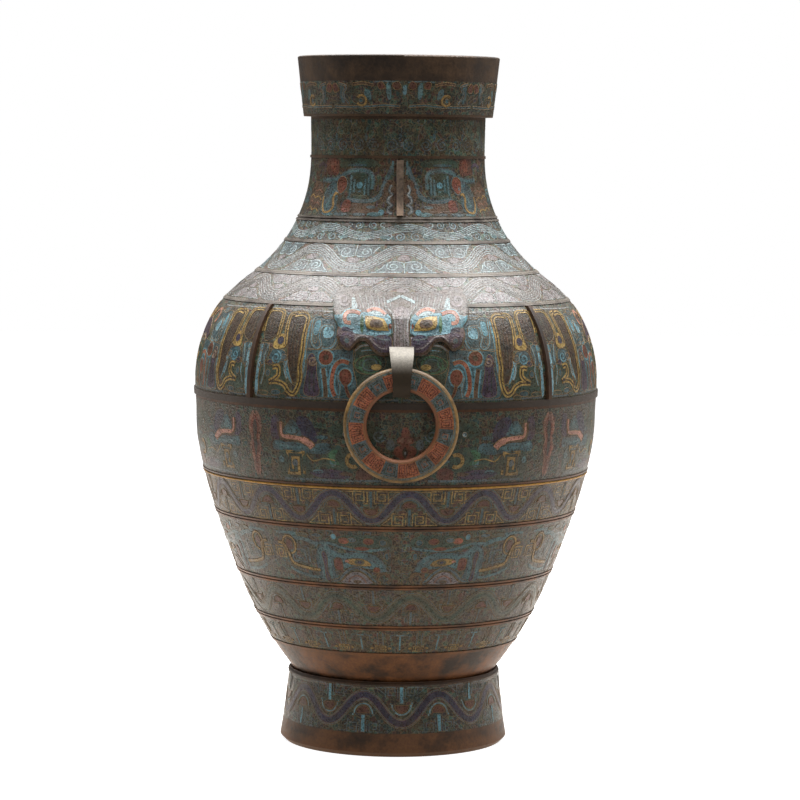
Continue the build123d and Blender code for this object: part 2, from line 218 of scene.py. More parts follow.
# left and right edge of a line that has a width, mitred at its corners
def sides(line, width):
    left, right = [], []
    for i, p in enumerate(line):
        a, b = line[max(i - 1, 0)], line[min(i + 1, len(line) - 1)]
        if 0 < i < len(line) - 1:
            inward = Vector((p[0] - a[0], p[1] - a[1])).normalized()
            outward = Vector((b[0] - p[0], b[1] - p[1])).normalized()
            along = inward + outward
            along = along.normalized() if along.length > mitre["sharpest"] else outward
            stretch = 1 / max(mitre["limit"], along.dot(outward))
        else:
            along, stretch = Vector((b[0] - a[0], b[1] - a[1])).normalized(), 1
        half = stretch * (width[i] if isinstance(width, list) else width) / 2
        left.append((p[0] - along.y * half, p[1] + along.x * half))
        right.append((p[0] + along.y * half, p[1] - along.x * half))
    return left, right


def newDrawing():
    return {"cells": [], "walls": []}


def dense(points):
    outline = []
    for a, b in zip(points, list(points[1:]) + [points[0]]):
        steps = max(1, round(hypot(b[0] - a[0], b[1] - a[1]) / drawStep))
        outline += [(a[0] + (b[0] - a[0]) * k / steps, a[1] + (b[1] - a[1]) * k / steps)
                    for k in range(steps)]
    return outline


def patch(drawing, points, colour, level=2, smooth=True, wall=True, halo=None):
    outline = flow(points, True) if smooth else dense(points)
    if halo:
        spread, colourAround = halo
        turning = sum(a[0] * b[1] - b[0] * a[1] for a, b in zip(outline, outline[1:] + outline[:1]))
        left, right = sides(outline[-1:] + outline + outline[:1], 2 * spread)
        drawing["cells"].append(((right if turning > 0 else left)[1:-1], colourAround, level - 1))
    drawing["cells"].append((outline, colour, level))
    if wall:
        drawing["walls"].append((outline + outline[:1], level))


def ribbon(drawing, points, width, colour, level=2, smooth=True, wall=True, halo=None):
    line = flow(points) if smooth else list(points)
    if halo:
        spread, colourAround = halo
        widest = max(width) if isinstance(width, list) else width
        ribbon(drawing, line, widest + 2 * spread, colourAround, level - 1, False, False)
    left, right = sides(line, width)
    for i in range(len(line) - 1):
        drawing["cells"].append(([left[i], right[i], right[i + 1], left[i + 1]], colour, level))
    if wall:
        drawing["walls"].append((left + right[::-1] + left[:1], level))


# glass without a metal edge: a field and a stroke
def field(drawing, points, colour, level):
    patch(drawing, points, colour, level, wall=False)


def stroke(drawing, points, width, colour, level, halo=None):
    ribbon(drawing, points, width, colour, level, wall=False, halo=halo)


def spot(drawing, s, t, wide, tall, colour, level=3, wall=True):
    count = 14  # points round the edge
    patch(drawing, [(s + wide / 2 * cos(2 * pi * i / count), t + tall / 2 * sin(2 * pi * i / count))
                    for i in range(count)], colour, level, False, wall)


def arcLine(s, t, radius, start, end, squash=1.0):
    steps = max(6, int(abs(end - start) / 12))  # one point every 12 degrees
    angles = [radians(start + (end - start) * i / steps) for i in range(steps + 1)]
    return [(s + radius * cos(angle), t + squash * radius * sin(angle)) for angle in angles]


# square spiral from its outer corner inwards
def fretLine(s, t, wide, tall, pitch, flip=1):
    left, right, low, high = -wide / 2, wide / 2, -tall / 2, tall / 2
    points = [(left, low)]
    while right - left > pitch and high - low > pitch:
        points += [(left, high), (right, high), (right, low), (left + pitch, low)]
        left, right, low, high = left + pitch, right - pitch, low + pitch, high - pitch
        points.append((left, low))
    return [(s + flip * x, t + y) for x, y in points[:-1]]


# round spiral that narrows to a fifth of its radius
def scrollLine(s, t, radius, turns, start=0, flip=1):
    count = int(16 * turns)
    line = []
    for i in range(count + 1):
        reach = radius * (1 - 0.8 * i / count)
        angle = radians(start) + 2 * pi * turns * i / count
        line.append((s + flip * reach * cos(angle), t + reach * sin(angle)))
    return line


def fret(drawing, s, t, wide, tall, pitch, colour, flip=1, level=2, width=None):
    line = fretLine(s, t, wide, tall, pitch, flip)
    ribbon(drawing, line, width or pitch * 0.5, colour, level, False, False)


def mirrored(drawing):
    both = newDrawing()
    for outline, colour, level in drawing["cells"]:
        both["cells"] += [(outline, colour, level), ([(-s, t) for s, t in outline[::-1]], colour, level)]
    for line, level in drawing["walls"]:
        both["walls"] += [(line, level), ([(-s, t) for s, t in line], level)]
    return both


# upside down, so that what stood at (0, 0) is at (s, t)
def turnedOver(drawing, s, t):
    over = newDrawing()
    for outline, colour, level in drawing["cells"]:
        over["cells"].append(([(s - x, t - y) for x, y in outline], colour, level))
    for line, level in drawing["walls"]:
        over["walls"].append(([(s - x, t - y) for x, y in line], level))
    return over


def joined(*drawings):
    return {key: sum((d[key] for d in drawings), []) for key in ("cells", "walls")}


# Mesh from a drawing: glass cells in thin layers, and the walls as a wire net

layer = {"ground": 0.02, "step": 0.06, "wallRise": -0.06, "longEdge": 6.0, "shortEdge": 0.02,
         "groundRow": 4.0}


def cellMesh(name, drawing, place, step=layer["longEdge"]):
    bm = bmesh.new()
    tint = bm.verts.layers.float_color.new("glaze")
    for outline, colour, level in drawing["cells"]:
        shade = linear(glaze[colour])
        points = [Vector(p) for i, p in enumerate(outline)
                  if i == 0 or (Vector(p) - Vector(outline[i - 1])).length > layer["shortEdge"]]
        if len(points) == 4:
            flat, faces = points, [(0, 1, 2, 3)]
        else:
            ring = [(i, (i + 1) % len(points)) for i in range(len(points))]
            inner = []  # points inside a large cell, so that it follows the curve of the wall
            low = Vector((min(p.x for p in points), min(p.y for p in points)))
            high = Vector((max(p.x for p in points), max(p.y for p in points)))
            if (high - low).length > 1.6 * step:
                inner = [Vector((x, y)) for x in np.arange(low.x + step / 2, high.x, step)
                         for y in np.arange(low.y + step / 2, high.y, step)]
            flat, _, faces, _, _, _ = delaunay_2d_cdt(points + inner, ring, [], 1, 1e-4)
        lift = layer["ground"] + layer["step"] * level
        made = [bm.verts.new(place(p.x, p.y, lift)) for p in flat]
        for vertex in made:
            vertex[tint] = shade
        for face in faces:
            bm.faces.new([made[i] for i in face])
    return meshFrom(bm, name)


def wallMesh(name, drawing, place):
    points, edges = [], []
    for line, level in drawing["walls"]:
        lift = layer["ground"] + layer["step"] * level + layer["wallRise"]
        start = len(points)
        points += [place(s, t, lift) for s, t in line]
        edges += [(start + i, start + i + 1) for i in range(len(line) - 1)]
    mesh = bpy.data.meshes.new(name)
    mesh.from_pydata(points, edges, [])
    return mesh


def groundMesh(name, band, colour, start=-180, end=180, columns=360, sheenTopColour=None, calm=0.0):
    bm = bmesh.new()
    tint = bm.verts.layers.float_color.new("glaze")
    rows = max(3, round(band["tall"] / layer["groundRow"]))
    whole = end - start >= 360
    grid = []
    for i in range(columns + (0 if whole else 1)):
        s = radians(start + (end - start) * i / columns) * band["middle"]
        grid.append([bm.verts.new(onBand(band, s, band["tall"] * k / rows, band["lift"]))
                     for k in range(rows + 1)])
    # the ground blends towards the top colour near the band's top; on the mask band that paler slate top is
    # a painted sheen
    low, high = (Vector(linear(glaze[c])) for c in (colour, sheenTopColour or colour))
    for column in grid:
        for k, vertex in enumerate(column):
            vertex[tint] = (*low.lerp(high, (k / rows) ** 2)[:3], calm)
    for i in range(columns):
        a, b = grid[i], grid[(i + 1) % len(grid)]
        for k in range(rows):
            bm.faces.new([a[k], b[k], b[k + 1], a[k + 1]])
    return meshFrom(bm, name)


wire = {"sides": 4, "radius": 0.21, "unevenness": 0.9, "wander": 16.0}


# Repeats one motif round the vessel's axis, turns its wall lines into wire and lays both on the ground
def roundTheAxisTree():
    tree = bpy.data.node_groups.new("motifRoundTheAxis", "GeometryNodeTree")
    for name, kind in (
            ("Geometry", "NodeSocketGeometry"), ("Walls", "NodeSocketObject"),
            ("Ground", "NodeSocketObject"), ("Count", "NodeSocketInt"), ("Turn", "NodeSocketFloat"),
            ("Wire Radius", "NodeSocketFloat"), ("Unevenness", "NodeSocketFloat"),
            ("Seed", "NodeSocketFloat"), ("Glass", "NodeSocketMaterial"), ("Metal", "NodeSocketMaterial")):
        tree.interface.new_socket(name, in_out="INPUT", socket_type=kind)
    tree.interface.new_socket("Geometry", in_out="OUTPUT", socket_type="NodeSocketGeometry")
    source = tree.nodes.new("NodeGroupInput").outputs
    wallLines = addNode(tree, "GeometryNodeObjectInfo", {"Object": source["Walls"]}).outputs["Geometry"]
    ground = addNode(tree, "GeometryNodeObjectInfo", {"Object": source["Ground"]}).outputs["Geometry"]
    section = addNode(tree, "GeometryNodeCurvePrimitiveCircle", {
        "Resolution": wire["sides"], "Radius": source["Wire Radius"]})
    curves = addNode(tree, "GeometryNodeMeshToCurve", {"Mesh": wallLines}).outputs[0]
    tube = addNode(tree, "GeometryNodeCurveToMesh", {
        "Curve": curves, "Profile Curve": section.outputs[0], "Fill Caps": True}).outputs[0]
    marked = addNode(tree, "GeometryNodeStoreNamedAttribute", {
        "Geometry": tube, "Name": "wall", "Value": True}, data_type="BOOLEAN", domain="FACE")
    motif = addNode(tree, "GeometryNodeJoinGeometry", {"Geometry": source["Geometry"]})
    tree.links.new(marked.outputs[0], motif.inputs[0])
    points = addNode(tree, "GeometryNodePoints", {"Count": source["Count"]}).outputs[0]
    share = addNode(tree, "ShaderNodeMath", {0: 2 * pi, 1: source["Count"]}, operation="DIVIDE").outputs[0]
    index = addNode(tree, "GeometryNodeInputIndex").outputs[0]
    angle = addNode(tree, "ShaderNodeMath", {
        0: index, 1: share, 2: source["Turn"]}, operation="MULTIPLY_ADD").outputs[0]
    rotation = addNode(tree, "FunctionNodeAxisAngleToRotation", {
        "Axis": (0, 0, 1), "Angle": angle}).outputs[0]
    copies = addNode(tree, "GeometryNodeInstanceOnPoints", {
        "Points": points, "Instance": motif.outputs[0], "Rotation": rotation}).outputs[0]
    everything = addNode(tree, "GeometryNodeJoinGeometry", {"Geometry": copies})
    tree.links.new(ground, everything.inputs[0])
    real = addNode(tree, "GeometryNodeRealizeInstances", {"Geometry": everything.outputs[0]}).outputs[0]
    # hand-cut lines wander a little round the vessel
    position = addNode(tree, "GeometryNodeInputPosition").outputs[0]
    wander = addNode(tree, "ShaderNodeTexNoise", {
        "Vector": position, "W": source["Seed"], "Scale": 1 / (wire["wander"] * mm), "Detail": 1.0},
                     noise_dimensions="4D").outputs[0]
    amount = addNode(tree, "ShaderNodeMath", {0: wander, 1: 0.5}, operation="SUBTRACT").outputs[0]
    amount = addNode(tree, "ShaderNodeMath", {
        0: amount, 1: source["Unevenness"]}, operation="MULTIPLY").outputs[0]
    axisWay = addNode(tree, "ShaderNodeVectorMath", {0: (0, 0, 1), 1: position},
                      operation="CROSS_PRODUCT").outputs[0]
    way = addNode(tree, "ShaderNodeVectorMath", {0: axisWay}, operation="NORMALIZE").outputs[0]
    shift = addNode(tree, "ShaderNodeVectorMath", {0: way, "Scale": amount}, operation="SCALE").outputs[0]
    uneven = addNode(tree, "GeometryNodeSetPosition", {"Geometry": real, "Offset": shift}).outputs[0]
    glass = addNode(tree, "GeometryNodeSetMaterial", {
        "Geometry": uneven, "Material": source["Glass"]}).outputs[0]
    isWall = addNode(tree, "GeometryNodeInputNamedAttribute", {"Name": "wall"},
                     data_type="BOOLEAN").outputs[0]
    metal = addNode(tree, "GeometryNodeSetMaterial", {
        "Geometry": glass, "Selection": isWall, "Material": source["Metal"]}).outputs[0]
    addNode(tree, "NodeGroupOutput", {0: metal})
    return tree


def plainMesh(holder, name):
    graph = bpy.context.evaluated_depsgraph_get()
    mesh = bpy.data.meshes.new_from_object(holder.evaluated_get(graph))
    mesh.name = name
    holder.modifiers.clear()
    bpy.data.objects.remove(holder)
    return mesh


def addObject(name, mesh):
    piece = bpy.data.objects.new(name, mesh)
    bpy.context.scene.collection.objects.link(piece)
    return piece


def finishPiece(piece, body, slot, *replaced):
    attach(piece, body)
    if replaced:
        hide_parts(*replaced)
    return piece


motifTree = roundTheAxisTree()


def roundTheAxis(name, cells, walls, ground, count, turn, seed):
    holder = addObject(name + "Holder", cells)
    wallHolder = addObject(name + "Walls", walls)
    groundHolder = addObject(name + "Ground", ground)
    modifier = holder.modifiers.new("motif", "NODES")
    modifier.node_group = motifTree
    given = {"Walls": wallHolder, "Ground": groundHolder, "Count": count, "Turn": turn,
             "Wire Radius": wire["radius"] * mm, "Unevenness": wire["unevenness"] * mm, "Seed": seed,
             "Glass": enamelGlass, "Metal": wallBronze}
    for item in motifTree.interface.items_tree:
        if item.in_out == "INPUT" and item.name in given:
            modifier[item.identifier] = given[item.name]
    mesh = plainMesh(holder, name)
    bpy.data.objects.remove(wallHolder)
    bpy.data.objects.remove(groundHolder)
    return mesh


# Materials

# champleve enamel: fired glass ground flush, softly glossy. The ground between the figures is a maze of
# small cells with thin metal walls, drawn about twice as wide as real ones, so that they show. The whole is
# clouded, pitted and filmed with brown.
maze = {"size": 3.3, "drift": 3.6, "driftSize": 5.0, "wallWidth": 0.12, "wallShare": 0.7,
        "wallTone": "#8a744c", "tint": 0.78, "figureTint": 0.18,
        "colours": ("#27362a", "#264644", "#573026", "#403424", "#47472f", "#43604f", "#352b30", "#231d16")}
glass = {"cloudSize": 8.0, "cloudFrom": 0.32, "cloudTo": 0.68, "darkest": 0.42, "lightest": 1.16,
         "pitSize": 1.3, "pitFrom": 0.53, "pitTo": 0.63, "pitShare": 0.75, "pitTone": "#2a221a",
         "filmSize": 26.0, "filmFrom": 0.49, "filmTo": 0.72, "filmShare": 0.6, "filmTone": "#46351f",
         "smooth": 0.3, "rough": 0.52, "bump": 0.7, "bumpDepth": 0.45, "gloss": 0.5, "pitGloss": 0.15}


def makeEnamel():
    material = bpy.data.materials.new("champleveEnamel")
    tree = clearedTree(material)
    place = addNode(tree, "ShaderNodeTexCoord").outputs["Object"]
    cellColour = addNode(tree, "ShaderNodeVertexColor", layer_name="glaze").outputs
    drift = addNode(tree, "ShaderNodeTexNoise", {
        "Vector": place, "Scale": 1 / (maze["driftSize"] * mm), "Detail": 2.0}).outputs["Color"]
    drift = addNode(tree, "ShaderNodeVectorMath", {0: drift, 1: (0.5, 0.5, 0.5)},
                    operation="SUBTRACT").outputs[0]
    drift = addNode(tree, "ShaderNodeVectorMath", {
        0: drift, "Scale": maze["drift"] * mm}, operation="SCALE").outputs[0]
    drifted = addNode(tree, "ShaderNodeVectorMath", {0: place, 1: drift}, operation="ADD").outputs[0]
    cell = {"Vector": drifted, "Scale": 1 / (maze["size"] * mm)}
    chosen = addNode(tree, "ShaderNodeTexVoronoi", cell).outputs["Color"]
    chosen = addNode(tree, "ShaderNodeSeparateColor", {0: chosen}).outputs[0]
    border = addNode(tree, "ShaderNodeTexVoronoi", cell, feature="DISTANCE_TO_EDGE").outputs["Distance"]
    choice = addNode(tree, "ShaderNodeValToRGB", {0: chosen})
    ramp = choice.color_ramp
    ramp.interpolation = "CONSTANT"
    for i, shade in enumerate(maze["colours"]):
        stop = ramp.elements[i] if i < 2 else ramp.elements.new(i / len(maze["colours"]))
        stop.position = i / len(maze["colours"])
        stop.color = linear(shade)
    # alpha 0 is ground, 1 a figure, which takes less of the maze
    amount = addNode(tree, "ShaderNodeMapRange", {
        "Value": cellColour["Alpha"], "To Min": maze["tint"], "To Max": maze["figureTint"]}).outputs[0]
    tinted = addNode(tree, "ShaderNodeMix", {
        "Factor": amount, 6: cellColour["Color"], 7: choice.outputs[0]}, data_type="RGBA").outputs[2]
    line = addNode(tree, "ShaderNodeMapRange", {
        "Value": border, "From Max": maze["wallWidth"], "To Min": maze["wallShare"],
        "To Max": 0.0}).outputs[0]
    line = addNode(tree, "ShaderNodeMath", {0: line, 1: amount}, operation="MULTIPLY").outputs[0]
    walled = addNode(tree, "ShaderNodeMix", {
        "Factor": line, 6: tinted, 7: linear(maze["wallTone"])}, data_type="RGBA").outputs[2]
    cloud = addNode(tree, "ShaderNodeTexNoise", {
        "Vector": place, "Scale": 1 / (glass["cloudSize"] * mm), "Detail": 6.0,
        "Roughness": 0.65}).outputs[0]
    speck = addNode(tree, "ShaderNodeTexNoise", {
        "Vector": place, "Scale": 1 / (glass["pitSize"] * mm), "Detail": 3.0}).outputs[0]
    value = addNode(tree, "ShaderNodeMapRange", {
        "Value": cloud, "From Min": glass["cloudFrom"], "From Max": glass["cloudTo"],
        "To Min": glass["darkest"], "To Max": glass["lightest"]}).outputs[0]
    clouded = addNode(tree, "ShaderNodeMix", {
        "Factor": 1.0, 6: walled, 7: value}, data_type="RGBA", blend_type="MULTIPLY").outputs[2]
    worn = addNode(tree, "ShaderNodeMapRange", {
        "Value": speck, "From Min": glass["pitFrom"], "From Max": glass["pitTo"], "To Min": 0.0,
        "To Max": glass["pitShare"]}).outputs[0]
    dirty = addNode(tree, "ShaderNodeMix", {
        "Factor": worn, 6: clouded, 7: linear(glass["pitTone"])}, data_type="RGBA").outputs[2]
    wear = addNode(tree, "ShaderNodeTexNoise", {
        "Vector": place, "Scale": 1 / (glass["filmSize"] * mm), "Detail": 7.0, "Roughness": 0.72}).outputs[0]
    film = addNode(tree, "ShaderNodeMapRange", {
        "Value": wear, "From Min": glass["filmFrom"], "From Max": glass["filmTo"], "To Min": 0.0,
        "To Max": glass["filmShare"]}).outputs[0]
    filmed = addNode(tree, "ShaderNodeMix", {
        "Factor": film, 6: dirty, 7: linear(glass["filmTone"])}, data_type="RGBA").outputs[2]
    rough = addNode(tree, "ShaderNodeMapRange", {
        "Value": cloud, "From Min": 0.3, "From Max": 0.7, "To Min": glass["smooth"],
        "To Max": glass["rough"]}).outputs[0]
    height = addNode(tree, "ShaderNodeMath", {0: border, 1: speck}, operation="ADD").outputs[0]
    bump = addNode(tree, "ShaderNodeBump", {
        "Height": height, "Strength": glass["bump"], "Distance": glass["bumpDepth"] * mm}).outputs[0]
    gloss = addNode(tree, "ShaderNodeMapRange", {
        "Value": worn, "From Max": glass["pitShare"], "To Min": glass["gloss"],
        "To Max": glass["pitGloss"]}).outputs[0]
    shader = addNode(tree, "ShaderNodeBsdfPrincipled", {
        "Base Color": filmed, "Roughness": rough, "Normal": bump, "IOR": 1.5, "Specular IOR Level": gloss})
    addNode(tree, "ShaderNodeOutputMaterial", {"Surface": shader.outputs[0]})
    return material


# patinated cast bronze: brown to black skin, coppery where hands and cloths rubbed it, most along its edges
bronze = {"cloudSize": 26.0, "cloudFrom": 0.4, "cloudTo": 0.62, "edgeFrom": 0.505, "edgeTo": 0.56,
          "edgeRub": 0.6, "darkest": 0.7, "lightest": 1.25, "smoother": 0.08, "rougher": 0.12, "bump": 0.3,
          "bumpDepth": 0.35}


def makeBronze(name, dark, bright, rub, metallic, roughness, grainSize=2.2, fade=None):
    material = bpy.data.materials.new(name)
    tree = clearedTree(material)
    place = addNode(tree, "ShaderNodeTexCoord").outputs["Object"]
    cloud = addNode(tree, "ShaderNodeTexNoise", {
        "Vector": place, "Scale": 1 / (bronze["cloudSize"] * mm), "Detail": 6.0,
        "Roughness": 0.62}).outputs[0]
    grain = addNode(tree, "ShaderNodeTexNoise", {
        "Vector": place, "Scale": 1 / (grainSize * mm), "Detail": 4.0}).outputs[0]
    edge = addNode(tree, "ShaderNodeNewGeometry").outputs["Pointiness"]
    patchy = addNode(tree, "ShaderNodeMapRange", {
        "Value": cloud, "From Min": bronze["cloudFrom"], "From Max": bronze["cloudTo"], "To Min": 0.0,
        "To Max": rub}).outputs[0]
    rubbed = addNode(tree, "ShaderNodeMapRange", {
        "Value": edge, "From Min": bronze["edgeFrom"], "From Max": bronze["edgeTo"], "To Min": 0.0,
        "To Max": bronze["edgeRub"]}).outputs[0]
    total = addNode(tree, "ShaderNodeMath", {0: patchy, 1: rubbed}, operation="ADD",
                    use_clamp=True).outputs[0]
    if fade:
        # rubbed at one height, dark at another; on the foot and the straps this ramp is painted shade, on
        # the shoulder a painted sheen
        low, high, atLow, atHigh = fade
        height = addNode(tree, "ShaderNodeSeparateXYZ", {0: place}).outputs["Z"]
        reach = addNode(tree, "ShaderNodeMapRange", {
            "Value": height, "From Min": low * mm, "From Max": high * mm, "To Min": atLow,
            "To Max": atHigh}).outputs[0]
        total = addNode(tree, "ShaderNodeMath", {0: total, 1: reach}, operation="MULTIPLY").outputs[0]
    skin = addNode(tree, "ShaderNodeMix", {
        "Factor": total, 6: linear(dark), 7: linear(bright)}, data_type="RGBA").outputs[2]
    fine = addNode(tree, "ShaderNodeMapRange", {
        "Value": grain, "From Min": 0.3, "From Max": 0.7, "To Min": bronze["darkest"],
        "To Max": bronze["lightest"]}).outputs[0]
    mottled = addNode(tree, "ShaderNodeMix", {
        "Factor": 1.0, 6: skin, 7: fine}, data_type="RGBA", blend_type="MULTIPLY").outputs[2]
    rough = addNode(tree, "ShaderNodeMapRange", {
        "Value": grain, "From Min": 0.3, "From Max": 0.7, "To Min": roughness - bronze["smoother"],
        "To Max": roughness + bronze["rougher"]}).outputs[0]
    bump = addNode(tree, "ShaderNodeBump", {
        "Height": grain, "Strength": bronze["bump"], "Distance": bronze["bumpDepth"] * mm}).outputs[0]
    shader = addNode(tree, "ShaderNodeBsdfPrincipled", {
        "Base Color": mottled, "Metallic": metallic, "Roughness": rough, "Normal": bump})
    addNode(tree, "ShaderNodeOutputMaterial", {"Surface": shader.outputs[0]})
    return material


# a copper tone painted on the rings' inner rim lightens it against the shade inside the ring, a painted
# light. Both rings hang in line, so one centre serves them.
innerRimLight = {"share": 0.8, "tone": "#7d5034"}


def paintInnerRimLight(material, node):
    tree = material.node_tree
    low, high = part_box(node)
    level = Vector((1, 0, 1))
    place = addNode(tree, "ShaderNodeTexCoord").outputs["Object"]
    inPlane = addNode(tree, "ShaderNodeVectorMath", {0: place, 1: level}, operation="MULTIPLY").outputs[0]
    outward = addNode(tree, "ShaderNodeVectorMath", {
        0: inPlane, 1: (low + high) / 2 * level}, operation="DISTANCE").outputs["Value"]
    reach = (high.z - low.z) / 2 * innerRimLight["share"]
    inside = addNode(tree, "ShaderNodeMath", {0: outward, 1: reach}, operation="LESS_THAN").outputs[0]
    shader = next(part for part in tree.nodes if part.type == "BSDF_PRINCIPLED")
    skin = shader.inputs["Base Color"].links[0].from_socket
    tinted = addNode(tree, "ShaderNodeMix", {
        "Factor": inside, 6: skin, 7: linear(innerRimLight["tone"])}, data_type="RGBA").outputs[2]
    tree.links.new(tinted, shader.inputs["Base Color"])


# name, dark skin, rubbed skin, rub, metallic, roughness; fade gives two heights and the rub at each, which
# on the foot, shoulder and straps paints shade and sheen
enamelGlass = makeEnamel()
patinatedBronze = makeBronze("patinatedBronze", "#211811", "#463321", 0.7, 0.2, 0.5)
# pale grey skin rising from 330 to 398 mm: a painted sheen of the overhead light on the upward-facing
# shoulder, darker lower down
shoulderBronzePaintedSheen = makeBronze("paintedSheenShoulderBronze", "#281c13", "#665e55", 1.0, 0.2, 0.5,
                            fade=(330, 398, 0.1, 1.0))
rubbedBronze = makeBronze("rubbedBellyBronze", "#261a11", "#6d4526", 1.0, 0.25, 0.46,
                          fade=(190, 260, 1.0, 0.4))
# rubbed copper at the foot's lip; above 16 mm the rub fades, so the bead at the waist is darker, a painted
# shade
footBronzeShadedBead = makeBronze("rubbedFootBronzeShadedBead", "#2b1f16", "#5f4028", 0.9, 0.25, 0.5, fade=(16, 40, 1.0, 0.35))
flangeBronze = makeBronze("rubbedFlangeBronze", "#44392f", "#877260", 0.9, 0.3, 0.5)
ribBronze = makeBronze("rubbedRibBronze", "#1c140e", "#453020", 0.8, 0.15, 0.6)
wallBronze = makeBronze("rubbedWallBronze", "#40311f", "#7d6139", 0.85, 0.15, 0.5)
ringBronze = makeBronze("rubbedRingBronze", "#4a3821", "#94723f", 0.9, 0.2, 0.5)
paintInnerRimLight(ringBronze, "front_ring")
# painted shade: the strap's skin darkens downwards from 358 to 343 mm, towards the ring
strapMetalPaintedShade = makeBronze("tinnedStrapBronzePaintedShade", "#3a3024", "#8a857c", 1.0, 0.5, 0.68, 1.4,
                        fade=(343, 358, 0.0, 1.0))
print("materials ready")


# Wave bands: a ribbon that rises and falls round the vessel, a sun under each crest and over each trough


# one period, a little fuller at its crests than a cosine
def waveLine(length, low, high, shift=0.0):
    count = 36
    points = []
    for i in range(count + 1):
        u = i / count - 0.5
        rise = cos(2 * pi * u)
        t = (low + high) / 2 + (high - low) / 2 * (1.1 * rise - 0.1 * rise ** 3) + shift
        points.append((u * length, t))
    return points


def waveRibbons(drawing, length, low, high, layers):
    line = waveLine(length, low, high)
    for width, colour, level, wall in layers:
        left, right = sides(line, width)
        # the ends of one period meet the next one
        left[0], right[0] = (line[0][0], line[0][1] + width / 2), (line[0][0], line[0][1] - width / 2)
        left[-1], right[-1] = (line[-1][0], line[-1][1] + width / 2), (line[-1][0], line[-1][1] - width / 2)
        for i in range(len(line) - 1):
            drawing["cells"].append(([left[i], right[i], right[i + 1], left[i + 1]], colour, level))
        if wall:
            drawing["walls"] += [(left, level), (right, level)]


# drawn for a crest, standing on the band's lower edge
def waveSun(colours, size, fretSize, stem):
    sun = newDrawing()
    base, wide, high = size
    dome = [(-wide / 2, base)] + [(-wide / 2 * cos(pi * i / 10), base + high * sin(pi * i / 10))
                                  for i in range(1, 10)]
    patch(sun, dome + [(wide / 2, base)], colours["sun"], 3, False)
    ribbon(sun, [(-(wide / 2 + 2.4) * cos(pi * i / 12), base - 0.6 + (high + 2.4) * sin(pi * i / 12))
                 for i in range(13)], 1.5, colours["halo"], 2, False)
    ribbon(sun, [(-wide * 0.85, base - 1.6), (wide * 0.85, base - 1.6)], 1.6, colours["halo"], 2, False)
    ribbon(sun, [(0, 1.0), (0, base - 1.6)], stem, colours["stem"], 2, False)
    wideFret, tallFret, pitch = fretSize
    for side in (1, -1):
        fret(sun, side * (stem / 2 + 1.6 + wideFret / 2), 1.2 + tallFret / 2, wideFret, tallFret, pitch,
             colours["fret"], side, 1, pitch * 0.36)
        near, far = side * (stem / 2 + 2 + wideFret), side * (stem / 2 + 2 + wideFret * 1.75)
        ribbon(sun, [(near, 1.4), (far, 1.4), (near, tallFret * 0.8)], pitch * 0.36, colours["fret"], 1,
               False, False)
    return sun


def waveBand(band, wave):
    length = band["round"] / wave["count"]
    drawing = newDrawing()
    waveRibbons(drawing, length, wave["low"], wave["high"], wave["ribbons"])
    sun = waveSun(wave["colours"], wave["sun"], wave["fret"], wave["stem"])
    return joined(drawing, sun, turnedOver(sun, length / 2, band["tall"]))


# ribbons: width, colour, level, metal edge. Sun: foot, width, height. Fret: width, height, pitch.
footWave = {"count": 9, "turn": 23.0, "low": 8.5, "high": 33.5, "ground": "night", "calm": 0.3,
            "ribbons": [(8.6, "slate", 1, True), (6.0, "plum", 2, True), (3.4, "indigo", 3, False)],
            "colours": {"sun": "rust", "halo": "turquoise", "stem": "turquoise", "fret": "slate"},
            "sun": (17.5, 12, 6.5), "fret": (11, 10, 2.4), "stem": 3.4}
lowerWave = {"count": 13, "turn": 5.0, "low": 7.0, "high": 29.5, "ground": "umber",
             "ribbons": [(9.8, "slate", 1, True), (7.0, "olive", 2, True), (2.0, "fern", 3, False)],
             "colours": {"sun": "rust", "halo": "slate", "stem": "slate", "fret": "ash"},
             "sun": (16.5, 10, 6.0), "fret": (11, 10, 2.4), "stem": 2.6}
bellyWave = {"count": 16, "turn": 2.9, "low": 5.8, "high": 30.0, "ground": "bark", "calm": 0.35,
             "ribbons": [(8.6, "slate", 1, True), (5.8, "plum", 2, True), (3.2, "indigo", 3, False)],
             "colours": {"sun": "rust", "halo": "teal", "stem": "teal", "fret": "ochre"},
             "sun": (17.5, 11.5, 5.5), "fret": (12, 11, 2.6), "stem": 2.6}
drawings = {"foot": (footWave, waveBand(bands["foot"], footWave)),
            "lowerWave": (lowerWave, waveBand(bands["lowerWave"], lowerWave)),
            "bellyWave": (bellyWave, waveBand(bands["bellyWave"], bellyWave))}


